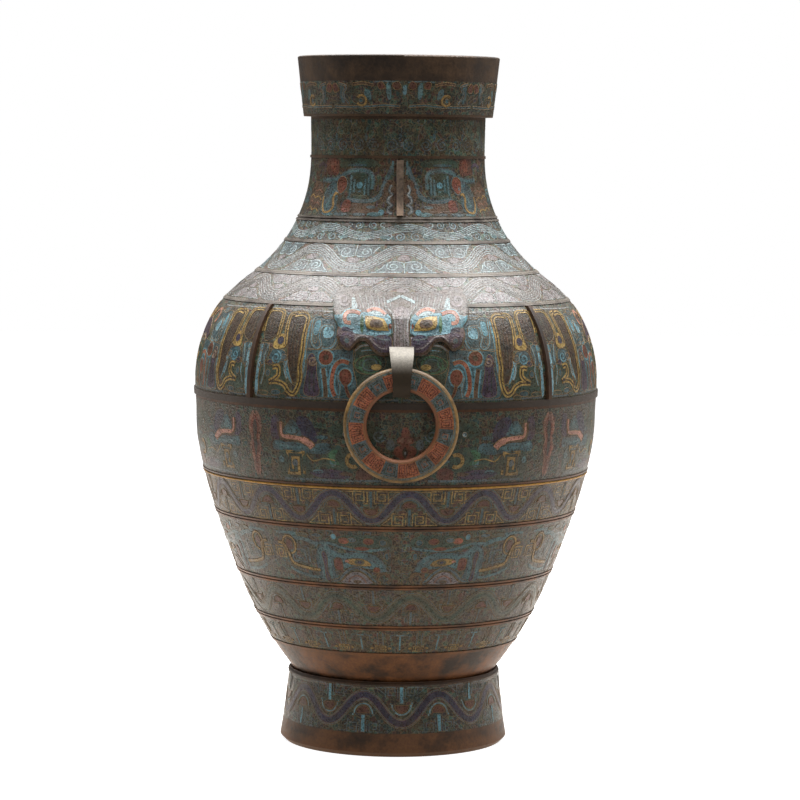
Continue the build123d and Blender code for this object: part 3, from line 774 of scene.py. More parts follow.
# Shoulder waves: many thin lines side by side and pairs of curled scrolls
def shoulderBand(band, wave):
    length = band["round"] / wave["count"]
    colours, base = wave["colours"], wave["base"]
    drawing = newDrawing()
    stripes = []
    for k in range(wave["stripes"]):
        wide = wave["stripe"] * (wave["stripes"] - k) * 2 - wave["stripe"]
        stripes += [(wide, colours["line"], 1 + 2 * k, False),
                    (wide - 2 * wave["line"], colours["wave"], 2 + 2 * k, False)]
    waveRibbons(drawing, length, wave["low"], wave["high"], stripes)
    curl = newDrawing()
    field(curl, [(-5, base), (-4, base + 4), (0, base + 6), (4, base + 4), (5, base)], colours["sun"], 3)
    ribbon(curl, [(0, 0.8), (0, base - 3)], 1.0, colours["line"], 2, False, False)
    for side in (1, -1):
        def onSide(*points):
            return [(side * s, t) for s, t in points]
        field(curl, onSide((2.4, 2.4), (2.4, base - 4), (9, base - 1.6), (15.6, base - 4), (19, 6),
                           (23, 2.4)), colours["field"], 1)
        scroll = scrollLine(side * 9.4, base - 7.2, 5.6, 1.5, 90, -side)
        stroke(curl, onSide((1.0, base - 3), (5, base - 1.8)) + scroll, 1.0, colours["line"], 2)
        stroke(curl, onSide((3, 1.5), (6, 1.7), (19, 1.5), (26, 1.1)), 0.9, colours["line"], 2)
        stroke(curl, onSide((16.4, base - 6), (18.4, 6.4), (22, 3.2)), 0.9, colours["line"], 2)
    return joined(drawing, curl, turnedOver(curl, length / 2, band["tall"]))


lowShoulder = {"count": 11, "turn": 0.8, "low": 7.0, "high": 26.5, "ground": "ash", "stripes": 3,
               "stripe": 2.5, "line": 0.75, "base": 14,
               "colours": {"wave": "ash", "line": "dove", "sun": "mauve", "field": "mauve"}}
midShoulder = {"count": 8, "turn": 1.7, "low": 6.5, "high": 28.0, "ground": "umber", "stripes": 3,
               "stripe": 2.1, "line": 0.6, "base": 16,
               "colours": {"wave": "ash", "line": "pale", "sun": "mauve", "field": "slate"}}
drawings["lowShoulder"] = (lowShoulder, shoulderBand(bands["lowShoulder"], lowShoulder))
drawings["midShoulder"] = (midShoulder, shoulderBand(bands["midShoulder"], midShoulder))
print("wave bands drawn")


# High shoulder: fine clouds of pale lines between curls
def cloudBand(band, cloud):
    length = band["round"] / cloud["count"]
    colours = cloud["colours"]
    drawing = newDrawing()
    for shift in (-4.2, -2.6, -1.0, 0.6, 2.2):
        stroke(drawing, waveLine(length, 6.0, 14.0, shift=shift), 0.8, colours["line"], 1)
    for side in (1, -1):
        for centre, low in ((0.0, 4.2), (0.5, 15.4)):
            stroke(drawing, scrollLine(centre * length + side * 6.6, low, 4.2, 1.5, 90, side), 1.0,
                   colours["curl"], 2)
            stroke(drawing, scrollLine(centre * length + side * 15, low, 3.0, 1.4, -90, side), 0.8,
                   colours["line"], 2)
        spot(drawing, side * length * 0.25, 15.6, 9, 3.4, colours["spot"], 2, False)
        spot(drawing, side * length * 0.25, 3.6, 9, 3.4, colours["field"], 2, False)
    return drawing


highShoulder = {"count": 8, "turn": 4.0, "ground": "slate",
                "colours": {"line": "pale", "curl": "mist", "spot": "ash", "field": "lagoon"}}
drawings["highShoulder"] = (highShoulder, cloudBand(bands["highShoulder"], highShoulder))


# Lappets: upright stems and nested lines over the plain bronze
def lappetBand(band, count):
    length = band["round"] / count
    drawing = newDrawing()
    tall = band["tall"]
    ribbon(drawing, [(0, 4), (0, tall - 5)], 1.8, "turquoise", 2, False)
    ribbon(drawing, [(-3.5, tall - 5), (3.5, tall - 5)], 1.6, "turquoise", 2, False)
    for side in (1, -1):
        for inset, colour in ((5, "olive"), (8, "slate"), (11, "brown")):
            top = tall - inset * 0.7
            ribbon(drawing, [(side * inset, 2), (side * inset, top), (side * 2, top + 2)], 1.0, colour, 1,
                   False, False)
        ribbon(drawing, [(side * (length / 2 - 2.2), tall - 2), (side * (length / 2 - 2.2), 9)], 1.5,
               "slate", 2, False)
        spot(drawing, side * 9, 6, 3.0, 2.4, "ochre", 3)
    fret(drawing, length / 2, 5.5, 9, 6, 1.9, "ochre")
    return drawing


lappets = {"count": 22, "turn": 1.2, "ground": "umber"}
drawings["lappet"] = (lappets, lappetBand(bands["lappet"], lappets["count"]))


# Rows of small square spirals that fill a ground between the figures, as shares of their field and pitch
fretFill = {"wide": 0.72, "tall": 0.7, "line": 0.42}


def fretGround(length, tall, colours, wide=9.0, high=7.0, pitch=1.9):
    ground = newDrawing()
    columns, rows = max(1, round(length / wide)), max(1, int(tall / high))
    for i in range(columns):
        for k in range(rows):
            s = -length / 2 + (i + 0.5) * length / columns
            t = (k + 0.5) * tall / rows
            fret(ground, s, t, length / columns * fretFill["wide"], tall / rows * fretFill["tall"], pitch,
                 colours[(i + 2 * k) % len(colours)], 1 if (i + k) % 2 else -1, 0, pitch * fretFill["line"])
    return ground


# Lower dragons: pairs of masks with ochre eyes, facing each other across a double line
def lowerDragonBand(band):
    half = newDrawing()
    tall = band["tall"]
    ribbon(half, [(1.6, 1), (1.6, tall - 1)], 1.1, "olive", 2, False)
    field(half, [(17, 16), (18, 24), (27, 30), (41, 31), (53, 29), (60, 33), (57, 24), (50, 16), (40, 18),
                 (29, 16)], "lagoon", 1)
    field(half, [(57, 4), (59, 14), (60, 30), (66, 38), (73, 32), (75, 20), (72, 4)], "teal", 1)
    field(half, [(9, 36), (10, 46), (30, 48), (52, 46), (60, 40), (44, 37), (24, 36)], "fern", 1)
    dome = [(26, 1.2), (28, 6), (33, 11), (39, 12.8), (45, 11), (50, 6), (53, 1.2)]
    ribbon(half, [(18, 2), (24, 5), (29, 11), (39, 16.5), (49, 11.5), (55, 5), (62, 2.4)], 3.0, "slate", 2)
    patch(half, dome, "mauve", 3)
    stroke(half, [(31, 2), (33, 6), (39, 9), (45, 6), (47, 2)], 1.3, "clay", 4)
    spot(half, 39, 3, 7, 3, "brown", 4)
    stroke(half, [(15, 13), (17, 20), (22, 25), (29, 28), (40, 28), (52, 27), (60, 31), (66, 37)], 3.4,
           "lagoon", 2, halo=(1.4, "slate"))
    patch(half, [(25.5, 19.5), (29, 23.5), (36, 25.4), (44, 25), (47.5, 23), (44, 20), (36, 18.6),
                 (29, 18.6)], "ochre", 3)
    spot(half, 35.5, 22, 9, 5, "olive", 4)
    spot(half, 35.5, 22, 4.5, 3, "indigo", 5)
    spot(half, 46.5, 22.6, 4, 2.6, "salmon", 4)
    patch(half, [(51, 15), (51.5, 24), (55, 25.6), (58.5, 23), (58, 15), (54.5, 13.6)], "brick", 3)
    stroke(half, [(62.5, 2), (62.5, 10), (63, 22), (61, 29), (66, 34), (71, 30), (70, 20), (69, 6)], 3.2,
           "lagoon", 2, halo=(1.2, "slate"))
    patch(half, [(64, 3), (66, 14), (64.5, 24), (66.5, 31), (69, 28), (68, 18), (68.5, 8), (67.5, 3)],
          "plum", 3)
    ribbon(half, [(73, 13), (76, 12.6), (86, 14), (97, 16.4), (101, 20), (103, 28), (106, 35), (112, 36.5)],
           2.6, "ochre", 3)
    stroke(half, [(73, 6), (82, 6), (96, 9), (104, 13)], 2.6, "lagoon", 2)
    stroke(half, [(72, 36), (80, 41), (92, 42), (96, 47)], 3.0, "lagoon", 2)
    fret(half, 90, 27, 17, 15, 3.4, "slate", 1, 2)
    fret(half, 111, 27.5, 10, 10, 2.6, "ochre", -1, 2)
    ribbon(half, arcLine(100, 35, 6.4, -60, 270, 1.3), 1.7, "ochre", 3, False)
    spot(half, 100, 35, 7, 10, "rust", 2)
    spot(half, 56.5, 45.5, 5, 6, "turquoise", 2)
    for s, t, wide, high, colour in (
            (27, 42, 9, 6, "brick"), (41, 43, 8, 5, "slate"), (48, 42, 9, 6, "coral"),
            (33, 35, 12, 3.5, "brick"), (15, 41, 6, 6, "teal"), (12, 28, 4, 7, "teal"),
            (21, 15, 6, 5, "brick"), (72, 46, 10, 4, "slate"), (85, 46, 12, 4, "olive")):
        spot(half, s, t, wide, high, colour, 2)
    ribbon(half, arcLine(15, 6, 5.5, -50, 230), 1.8, "brown", 2)
    stroke(half, [(9, 36), (24, 33.5), (44, 34), (62, 39), (78, 38.5), (92, 46), (112, 46)], 2.4,
           "lagoon", 1)
    length = band["round"] / 4
    return joined(mirrored(half), fretGround(length, tall, ["olive", "slate", "brown", "fern"], 8, 6.4, 1.7))


lowerDragon = {"count": 4, "turn": 0.7, "ground": "umber"}
drawings["lowerDragon"] = (lowerDragon, lowerDragonBand(bands["lowerDragon"]))


# Belly dragons: split creatures between red lotus bars, on a dark ground
def bellyDragonBand(band):
    half = newDrawing()
    tall = band["tall"]
    length = band["round"] / 4
    # smudged fields under the figures
    for points, colour in (
            ([(64, 29), (67, 36), (80, 34.5), (92, 36), (106, 35), (118, 36), (118, 28), (104, 28.5),
              (88, 27), (74, 26)], "teal"),
            ([(76, 37), (79, 50), (86, 57), (95, 56), (94, 44), (90, 38)], "indigo"),
            ([(112, 38), (113, 55), (120, 56), (121, 40)], "plum"),
            ([(83, 4), (84, 26), (104, 27), (114, 24), (113, 6), (98, 3)], "moss"),
            ([(42, 30), (58, 33), (72, 25), (74, 17), (62, 14), (44, 12), (38, 20)], "fern"),
            ([(28, 6), (30, 15), (40, 14), (42, 5)], "rust"),
            ([(48, 6), (54, 12), (72, 13), (84, 9), (70, 5)], "plum"),
            ([(20, 38), (22, 50), (40, 54), (60, 52), (66, 44), (46, 40)], "moss")):
        field(half, points, colour, 1)
    # fleur at the middle
    field(half, [(0, 23), (4, 23.6), (8.4, 27), (9.4, 31), (6.6, 34.4), (3, 35.4), (6.8, 37.6), (6.4, 41.4),
                 (3.4, 43), (3.4, 47), (0, 50)], "brick", 3)
    field(half, [(0, 24), (1.6, 26), (2.6, 29), (1.4, 32), (0, 34)], "bark", 4)
    field(half, [(1.6, 37.6), (5.4, 38.4), (5, 41), (1.6, 41.6)], "clay", 4)
    # small pale spot on the fleur's dark eye: a painted glint, a painted highlight
    spot(half, 0, 28.6, 1.4, 3.4, "dove", 5, False)
    field(half, [(9, 33), (13, 31), (16, 34), (14, 40), (10, 39)], "slate", 2)
    stroke(half, scrollLine(22, 43, 5.5, 1.4, 180), 1.3, "slate", 2)
    # lotus bars at the quarters
    edge = length / 2
    field(half, [(edge, 6), (edge - 4, 10), (edge - 4.4, 20), (edge - 7, 30), (edge - 5, 36),
                 (edge - 7.6, 46), (edge - 6, 55), (edge, 57)], "clay", 2)
    field(half, [(edge, 8), (edge - 2.2, 12), (edge - 1.8, 20), (edge - 5, 29), (edge - 3, 36),
                 (edge - 5, 46), (edge - 3, 54), (edge, 55)], "brick", 3)
    field(half, [(edge, 22), (edge - 2.2, 30), (edge - 1.6, 38), (edge - 2.6, 46), (edge, 52)], "bark", 4)
    # salmon snout under a teal crest
    ribbon(half, [(80, 31.5), (84, 35.5), (92, 38.5), (101, 39.4), (108.4, 40), (110.6, 44), (110.8, 52)],
           [5.6] * 7 + [3.6] * 9 + [2.6] * 30, "salmon", 3, halo=(0.8, "brown"))
    field(half, [(91, 41), (93, 48), (99, 54.5), (105, 50), (108, 42.5)], "teal", 2)
    field(half, [(96, 43), (98, 49), (102, 50), (105, 43.5)], "lagoon", 3)
    stroke(half, [(78, 29), (90, 31.5), (104, 31), (117, 34)], 2.4, "lagoon", 2)
    # ochre square eye
    ribbon(half, fretLine(97, 17.5, 16, 19, 5.0), 2.3, "ochre", 3, False)
    spot(half, 97.5, 17.5, 6, 6, "slate", 3, False)
    spot(half, 111, 20, 5.4, 6, "lagoon", 3, False)
    stroke(half, [(60, 21), (70, 22.5), (80, 20), (86, 25.5)], 1.1, "ochre", 2)
    stroke(half, [(56, 16), (68, 17.5), (78, 15), (84, 19)], 1.0, "olive", 2)
    # hook, dashes and bars
    ribbon(half, arcLine(44.4, 21.5, 5.4, 125, -125), 3.0, "ochre", 3)
    field(half, [(56, 18), (60, 24), (57, 30), (62, 30), (66, 26), (63, 19)], "green", 2)
    for s, t, wide, high, colour in (
            (62, 19, 6, 6.6, "lagoon"), (72, 40.5, 12, 3.6, "teal"), (73, 31.5, 12, 4.2, "teal"),
            (76, 11, 10, 3.4, "lagoon"), (36, 33, 11, 3.4, "slate"), (62, 48, 9, 4, "fern"),
            (34, 21, 9, 3, "lagoon"), (27, 28, 6, 4, "teal"), (51, 9.5, 12, 3.6, "brown")):
        spot(half, s, t, wide, high, colour, 2, False)
    spot(half, 51, 44, 4.4, 4.4, "pale", 3)
    spot(half, 52, 44, 2.4, 2.4, "slate", 4, False)
    stroke(half, [(58, 9.5), (68, 10.5), (80, 9.5)], 2.4, "indigo", 2)
    stroke(half, [(20, 4), (60, 3.6), (110, 3.2)], 2.0, "slate", 1)
    ground = fretGround(length, tall, ["olive", "fern", "brown", "moss"], 8.4, 6.6, 1.8)
    return joined(mirrored(half), ground)


bellyDragon = {"count": 4, "turn": 1.3, "ground": "night", "calm": 0.3}
drawings["bellyDragon"] = (bellyDragon, bellyDragonBand(bands["bellyDragon"]))


# Neck dragons: beasts with curled trunks on both sides of the flange
def neckDragonBand(band):
    half = newDrawing()
    # smudged fields under the figures
    for points, colour in (
            ([(4, 14), (4, 31), (11, 33), (16, 25), (13, 15)], "brown"),
            ([(20, 45), (24, 51), (52, 51), (57, 44), (42, 45)], "fern"),
            ([(27, 18), (26, 38), (45, 39), (46, 19)], "moss"),
            ([(57, 6), (58, 26), (64, 31), (72, 25), (75, 12), (67, 5)], "teal"),
            ([(16, 4), (24, 12), (40, 12), (44, 5), (30, 3)], "brown"),
            ([(60, 38), (61, 51), (75, 51), (74, 39)], "rust"),
            ([(76, 8), (78, 28), (92, 30), (96, 10)], "brown")):
        field(half, points, colour, 1)
    # square scroll of the beast's body and its maze
    stroke(half, [(80, 33), (66, 32.5), (57, 35), (48, 40), (37, 41.5), (27, 39.5), (24.4, 33), (25, 25)],
           2.0, "lagoon", 2, halo=(1.3, "slate"))
    ribbon(half, fretLine(36, 28, 17, 17, 3.4), 1.3, "lagoon", 2, False, False, halo=(0.6, "teal"))
    spot(half, 36, 28.5, 6, 6, "turquoise", 3, False)
    stroke(half, [(47, 17), (36, 14.4), (24, 15), (17, 20), (14, 29), (10, 37), (7, 45)], 1.7, "slate", 2,
           halo=(1.0, "teal"))
    stroke(half, [(45, 20.5), (36, 19), (28, 19.6)], 1.2, "olive", 2)
    # trunk
    patch(half, [(49, 27), (50, 34), (55, 36), (59, 32), (58, 24), (54, 21)], "brick", 3,
          halo=(1.2, "slate"))
    ribbon(half, [(57, 20), (60, 21), (61.5, 16), (60, 9), (63, 4.4), (69, 4), (73, 10), (74, 18)], 1.9,
           "ochre", 3, halo=(1.3, "teal"))
    stroke(half, [(64, 20), (66, 13), (68, 9)], 2.6, "lagoon", 2)
    for t, colour in ((7, "ochre"), (12.5, "clay"), (18, "ochre"), (24, "clay")):
        stroke(half, [(77, t - 3), (82, t), (87, t - 1.4), (92, t + 1.6), (97, t - 1)], 1.1, colour, 3)
    field(half, [(43, 4.6), (43, 14), (49, 15), (51, 6)], "brick", 2)
    field(half, [(64, 40), (63, 50), (68, 51), (69, 41)], "brick", 2)
    stroke(half, [(76, 44), (82, 47), (90, 44)], 3.0, "plum", 2)
    # pale curls along the flange and waves at the foot of the band
    stroke(half, [(6.4, 3), (9.4, 5), (9, 9), (6.6, 11), (9.8, 14), (9, 18), (6.4, 20), (8.6, 24), (7, 29)],
           1.0, "dove", 2, halo=(0.9, "slate"))
    stroke(half, [(6.2, 38), (6.6, 44), (6.2, 50)], 2.0, "lagoon", 2)
    for s, t, wide, high, colour in (
            (20, 2.4, 13, 4, "lagoon"), (34, 2.2, 12, 3, "slate"), (50, 2, 14, 3, "slate"),
            (15, 4.4, 5, 5, "turquoise"), (64, 2, 12, 3, "lagoon"), (24, 9, 8, 3, "slate"),
            (110, 30, 20, 10, "olive"), (104, 14, 10, 6, "teal"), (40, 46, 20, 2.4, "teal")):
        spot(half, s, t, wide, high, colour, 2, False)
    stroke(half, scrollLine(108, 40, 8, 1.8, 180), 1.8, "slate", 2)
    stroke(half, scrollLine(107, 18, 8, 1.8, 0, -1), 1.8, "lagoon", 2)
    length = band["round"] / 2
    ground = fretGround(length, band["tall"], ["brown", "fern", "brown", "plum"], 8, 6.6, 1.8)
    return joined(mirrored(half), ground)


neckDragon = {"count": 2, "turn": 0.0, "ground": "bark", "calm": 0.35}
drawings["neckDragon"] = (neckDragon, neckDragonBand(bands["neckDragon"]))


def neckScrollBand(band, count):
    length = band["round"] / count
    drawing = newDrawing()
    tall = band["tall"]
    for side in (1, -1):
        stroke(drawing, scrollLine(side * 7.4, 9, 5.6, 1.7, 90, side), 1.1, "slate", 2)
        stroke(drawing, scrollLine(side * 7.4, 22.5, 5.6, 1.7, -90, side), 1.0, "olive", 2)
    spot(drawing, 0, 16, 3.0, 7, "teal", 2, False)
    ribbon(drawing, [(-length / 2, 2), (length / 2, 2)], 1.2, "slate", 1, False, False)
    ribbon(drawing, [(-length / 2, tall - 2), (length / 2, tall - 2)], 1.0, "slate", 1, False, False)
    return joined(drawing, fretGround(length, tall, ["slate", "moss", "brown", "fern"], 7, 5.4, 1.5))


neckScroll = {"count": 16, "turn": 0.0, "ground": "moss", "calm": 0.2}
drawings["neckScroll"] = (neckScroll, neckScrollBand(bands["neckScroll"], neckScroll["count"]))


# Collar: small masks with round ochre eyes
def collarBand(band):
    half = newDrawing()
    ribbon(half, arcLine(38, 9, 4.4, 40, 330), 1.7, "ochre", 3)
    spot(half, 38.5, 9, 4, 4, "teal", 3)
    field(half, [(29, 10), (30, 17), (34, 19), (35, 14), (32, 10)], "lagoon", 2)
    patch(half, [(3, 20), (5, 25), (9, 24.6), (10.5, 21), (7, 18.4)], "rust", 3)
    patch(half, [(17, 20), (19, 25), (23, 24), (22, 19)], "rust", 3)
    field(half, [(0, 14), (1.6, 15), (1.4, 21), (0, 22)], "turquoise", 2)
    field(half, [(11.6, 11), (12, 22), (15, 24), (16, 16), (14, 10)], "lagoon", 2)
    field(half, [(54, 8), (55, 22), (58, 24), (59, 14), (57, 7)], "teal", 2)
    stroke(half, [(3, 24.6), (14, 25.6), (26, 25)], 1.2, "slate", 2)
    ribbon(half, [(27, 22), (36, 24), (46, 23)], 2.2, "brown", 2)
    ribbon(half, [(50, 6), (56, 14), (52, 21), (60, 24)], 1.8, "slate", 2)
    patch(half, [(60, 18), (63, 24), (67, 22), (65, 16)], "rust", 3)
    ribbon(half, [(4, 4), (18, 5), (28, 4), (48, 3.4), (66, 4)], 2.0, "teal", 2)
    length = band["round"] / 4
    return joined(mirrored(half), fretGround(length, band["tall"], ["moss", "fern", "brown"], 7, 6.4, 1.7))


collar = {"count": 4, "turn": 2.2, "ground": "night", "calm": 0.4}
drawings["collar"] = (collar, collarBand(bands["collar"]))
print("dragon, neck and collar bands drawn")

for seed, name in enumerate(bandName for bandName in bands if bandName != "panel"):
    look, drawing = drawings[name]
    band = bands[name]

    def place(s, t, lift):
        return onBand(band, s, t + band["start"], lift + band["lift"])
    ground = groundMesh(name + "Ground", band, look["ground"], calm=look.get("calm", 0.0))
    cells = cellMesh(name + "Cells", drawing, place)
    walls = wallMesh(name + "Walls", drawing, place)
    turn = radians(look["turn"])
    mesh = roundTheAxis(name + "Enamel", cells, walls, ground, look["count"], turn, seed * 3.7)
    finishPiece(addObject(name + "Enamel", mesh), "vessel", "enamel", band["node"])
    print(name, "band:", len(mesh.polygons), "faces")


# Mask band: tall ochre hooks, red beans and horns on turquoise, traced on both sides of the mask
def panelDrawing():
    half = newDrawing()
    rim = (1.5, "turquoise")

    # two gilt lines with bronze between them
    def hook(points, width):
        ribbon(half, points, width, "gold", 3)
        stroke(half, points, width * 0.3, "bark", 4)
    # brown fields with fine upright lines
    patch(half, [(89, 76), (106, 76), (105, 60), (102, 44), (99, 30), (95, 18), (90, 16), (89.5, 40)],
          "bark", 1)
    patch(half, [(116, 76), (133, 77), (132, 62), (128, 50), (119, 53), (115, 64)], "bark", 1)
    for inset in (92.5, 95.5, 98.5, 101.5):
        stroke(half, [(inset, 72), (inset - 0.4, 55), (inset - 1.2, 40), (inset - 2.6, 28)], 0.9, "brown", 2)
    for inset in (120, 123.5, 127):
        stroke(half, [(inset, 73), (inset, 64), (inset - 0.6, 56)], 0.9, "brown", 2)
    # turquoise fields between the figures
    patch(half, [(103, 40), (108, 42.5), (117, 42), (120, 34), (116, 29), (108, 31), (103, 33)], "teal", 1)
    patch(half, [(94, 14), (99, 20), (104, 31), (100, 33), (97, 24)], "turquoise", 1)
    patch(half, [(121, 44), (127, 48), (131, 44), (130, 30), (124, 30)], "teal", 1)
    patch(half, [(128.5, 40), (131.5, 40), (132.5, 20), (133, 4), (129.5, 4), (129, 20)], "sky", 2)
    patch(half, [(55, 72), (68, 74), (84, 73), (86, 58), (85, 44), (70, 44.6), (56, 46)], "teal", 1)
    patch(half, [(40, 44), (56, 44.6), (72, 43.6), (85, 43), (84.6, 22), (85, 4), (60, 3.4), (38, 3.4),
                 (36.6, 16), (40, 30)], "teal", 1)
    patch(half, [(8, 46), (24, 48), (39, 45), (40, 30), (36, 14), (36, 4), (6, 4), (6, 30)], "fern", 1)
    patch(half, [(103, 31), (118, 30), (127, 26), (127, 5), (108, 4), (100, 10)], "fern", 1)
    patch(half, [(83, 70), (86, 66), (85.6, 44), (85, 22), (82.6, 30), (83, 50)], "turquoise", 2)
    hook([(103, 74.5), (94, 76), (88.5, 73), (87.5, 66), (87.5, 55), (86.5, 41), (87.5, 29), (86.5, 20),
          (88.5, 11), (92.5, 5.5), (97.5, 7.5), (101.5, 12.5), (108.5, 15), (117, 14.5)], 4.2)
    hook([(117, 14.5), (112, 17), (108, 21), (109, 27.5), (114.5, 27)], 4.4)
    hook([(100, 76.5), (107, 75), (107.5, 66), (106, 55), (104.6, 47)], 3.6)
    hook([(114.5, 52), (114.5, 64), (117, 77), (126, 79), (133, 78), (134.5, 70), (133, 58)], 3.4)
    patch(half, [(104, 46), (106, 54), (110, 56.5), (115, 55), (117.6, 46), (114, 43), (108, 43.5)],
          "gold", 3)
    spot(half, 110.5, 50.5, 7, 7.4, "indigo", 4)
    stroke(half, scrollLine(112, 35.5, 5.6, 1.6, 90), 1.3, "turquoise", 3)
    ribbon(half, [(60, 61), (65.5, 65.5), (72, 64), (73, 56), (70, 48), (74, 45), (79, 50), (81, 61),
                  (82, 72)], 1.6, "turquoise", 3)
    patch(half, [(60, 57), (61, 65), (66, 66), (70, 62), (69, 55), (64, 54)], "sky", 2)
    patch(half, [(73.5, 60), (74, 70), (79, 70), (80, 60), (77, 56)], "turquoise", 2)
    ribbon(half, [(56, 55), (60, 46), (69, 45)], 2.0, "turquoise", 3)
    # dark red beans, coral horns
    patch(half, [(58, 38), (61, 42.5), (67, 43), (70.5, 39), (69, 33), (64, 31), (59.5, 33)], "brick", 3,
          halo=rim)
    spot(half, 64, 37.4, 5, 5, "umber", 4, False)
    ribbon(half, [(44, 33), (50, 34.5), (55, 31), (57.5, 22), (57.5, 12), (55, 5)], 3.2, "coral", 3,
           halo=rim)
    ribbon(half, [(66, 28), (64.4, 20), (63, 10), (63, 4)], 3.4, "brown", 3, halo=rim)
    patch(half, [(41, 22), (43.5, 27), (48.5, 27.6), (51.5, 23.6), (50.5, 18), (47, 14), (42.6, 16)],
          "brick", 3, halo=rim)
    ribbon(half, [(46, 15), (44.5, 9), (42, 4)], [3.4, 2.8] + [2.2] * 30, "brick", 3)
    patch(half, [(73, 34), (77, 40.5), (81, 36), (80.5, 26), (82, 6), (69, 6), (71.5, 24)], "plum", 2)
    ribbon(half, scrollLine(76, 34, 4, 1.3, 200), 1.2, "mauve", 3)
    for inset in (73.5, 77.5):
        stroke(half, [(inset, 8), (inset, 18), (inset + 0.5, 26)], 1.2, "night", 3)
    # green ovals with a gilt spot
    patch(half, [(13, 37), (22, 40.5), (34, 38), (39, 31), (34, 25), (24, 24.5), (15, 28)], "moss", 2)
    stroke(half, arcLine(26, 32, 9, 0, 360, 0.8), 1.4, "green", 3)
    stroke(half, arcLine(26, 32, 6, 0, 360, 0.8), 1.0, "teal", 3)
    spot(half, 20.5, 30, 9, 5, "gold", 4)
    stroke(half, arcLine(35, 33, 4.0, 0, 360), 1.5, "green", 3)
    ribbon(half, [(16, 45), (24, 48.5), (34, 48), (40, 43)], 1.8, "dove", 2)
    ribbon(half, [(18, 42), (26, 44.5), (34, 43.5)], 1.2, "turquoise", 2)
    ribbon(half, [(52, 3), (50.5, 12), (53.5, 22)], 1.4, "turquoise", 2)
    ribbon(half, [(12, 20), (26, 19), (34, 12), (36, 3)], 2.0, "teal", 2)
    ribbon(half, [(122, 47), (125, 36), (123, 24), (126, 12)], 1.6, "turquoise", 2)
    ribbon(half, [(100, 34), (102, 26), (99, 18)], 1.8, "sky", 2)
    for s, t, wide, high, colour in (
            (104, 36, 6, 5, "slate"), (118, 31, 6, 5, "indigo"), (130, 44, 5, 7, "turquoise"),
            (124, 5, 12, 4, "moss"), (103, 3, 8, 4, "moss"), (67, 75, 14, 6, "slate"),
            (129, 28, 4, 5, "slate"), (76, 52, 3, 6, "teal"), (55, 72, 8, 5, "slate"),
            (110, 6, 10, 5, "teal"), (119, 22, 5, 6, "teal"), (31, 8, 8, 5, "brick")):
        spot(half, s, t, wide, high, colour, 2)
    stroke(half, [(2, 2.4), (34, 2.2), (70, 2.4), (90, 2), (132, 2.2)], 1.6, "slate", 1)
    stroke(half, [(56, 79.4), (80, 79.6), (110, 80.6), (134, 80.8)], 1.2, "dove", 1)
    return mirrored(half)


# Face of the flat panels at the sides, where no mask is applied
def sideFace():
    half = newDrawing()
    patch(half, [(6, 58), (14, 64), (28, 66), (40, 60), (47, 50), (42, 45), (33, 50), (24, 45), (12, 47)],
          "plum", 2)
    patch(half, [(9, 68), (16, 74), (27, 75), (31, 70), (22, 65), (12, 64)], "ochre", 4)
    spot(half, 20, 70, 7, 5, "brown", 5)
    ribbon(half, [(6, 62), (5, 72), (8, 80)], 2.4, "slate", 3)
    ribbon(half, [(36, 68), (42, 74), (50, 74), (53, 66), (48, 62)], 3.2, "salmon", 3)
    ribbon(half, [(8, 10), (9, 24), (8, 40)], 2.4, "coral", 3)
    return mirrored(half)


panelBand = bands["panel"]
panels = {"front": 0, "right": 90, "back": 180, "left": 270}
# the mask band's ground turns from fern to paler slate towards the top, a painted sheen
panelLook = {"half": 44.4, "columns": 90, "ground": "fern", "top": "slate", "seed": 50}
figure = panelDrawing()


def onPanel(s, t, lift):
    return onBand(panelBand, s, t, lift)


for seed, (name, turn) in enumerate(panels.items()):
    drawing = figure if name in ("front", "back") else joined(figure, sideFace())
    ground = groundMesh(name + "Ground", panelBand, panelLook["ground"], turn - panelLook["half"],
                        turn + panelLook["half"], panelLook["columns"], panelLook["top"])
    mesh = roundTheAxis(name + "PanelEnamel", cellMesh(name + "Cells", drawing, onPanel),
                        wallMesh(name + "Walls", drawing, onPanel), ground, 1, radians(turn),
                        panelLook["seed"] + seed)
    finishPiece(addObject(name + "PanelEnamel", mesh), "vessel", "enamel", name + "_panel_enamel")
print("mask band ready")


# Masks: cast faces that stand proud of the shoulder, with their own cells of glass. Places on them are
# across and up, in millimetres.
mask = {"relief": 5.4, "edgeRise": 2.4, "edgeRound": 5.0, "browRise": 0.15, "browRelief": 0.5,
        "browFrom": 387, "browReach": 19, "noseHalf": 8.0, "noseRise": 4.0, "noseTop": 399, "noseFade": 12,
        "root": 0.8, "grid": 1.7, "gridHalf": 58, "gridLow": 355, "gridHigh": 412, "layers": 3.0,
        "eye": (20, 383, 11, 6.5), "eyeRise": 2.0, "jowl": (45, 367, 9, 9), "jowlRise": 0.6,
        "muzzle": (17, 364, 10, 8), "muzzleRise": 0.5, "cheek": (33, 376, 8, 5), "cheekDip": 1.0,
        "outline": [(0, 408), (14, 408.4), (30, 409.6), (43, 411.4), (50, 412), (54.4, 409.6), (55.8, 403),
                    (57, 396), (57.6, 391), (56.8, 386), (54.6, 382), (53.2, 379.4), (54, 375.6),
                    (54.4, 371.6), (53, 366.6), (50, 362.6), (46.4, 360.2), (42.6, 359.8), (40.4, 362),
                    (37.6, 365.4), (34, 367.4), (30, 367.2), (27, 364.4), (24.6, 360.4), (21, 357),
                    (16.5, 355.4), (11.5, 355.6), (6, 357.4), (0, 358)]}


def maskOutline():
    right = flow(mask["outline"])
    return right + [(-x, z) for x, z in right[-2:0:-1]]


maskEdge = [Vector(p) for p in maskOutline()]


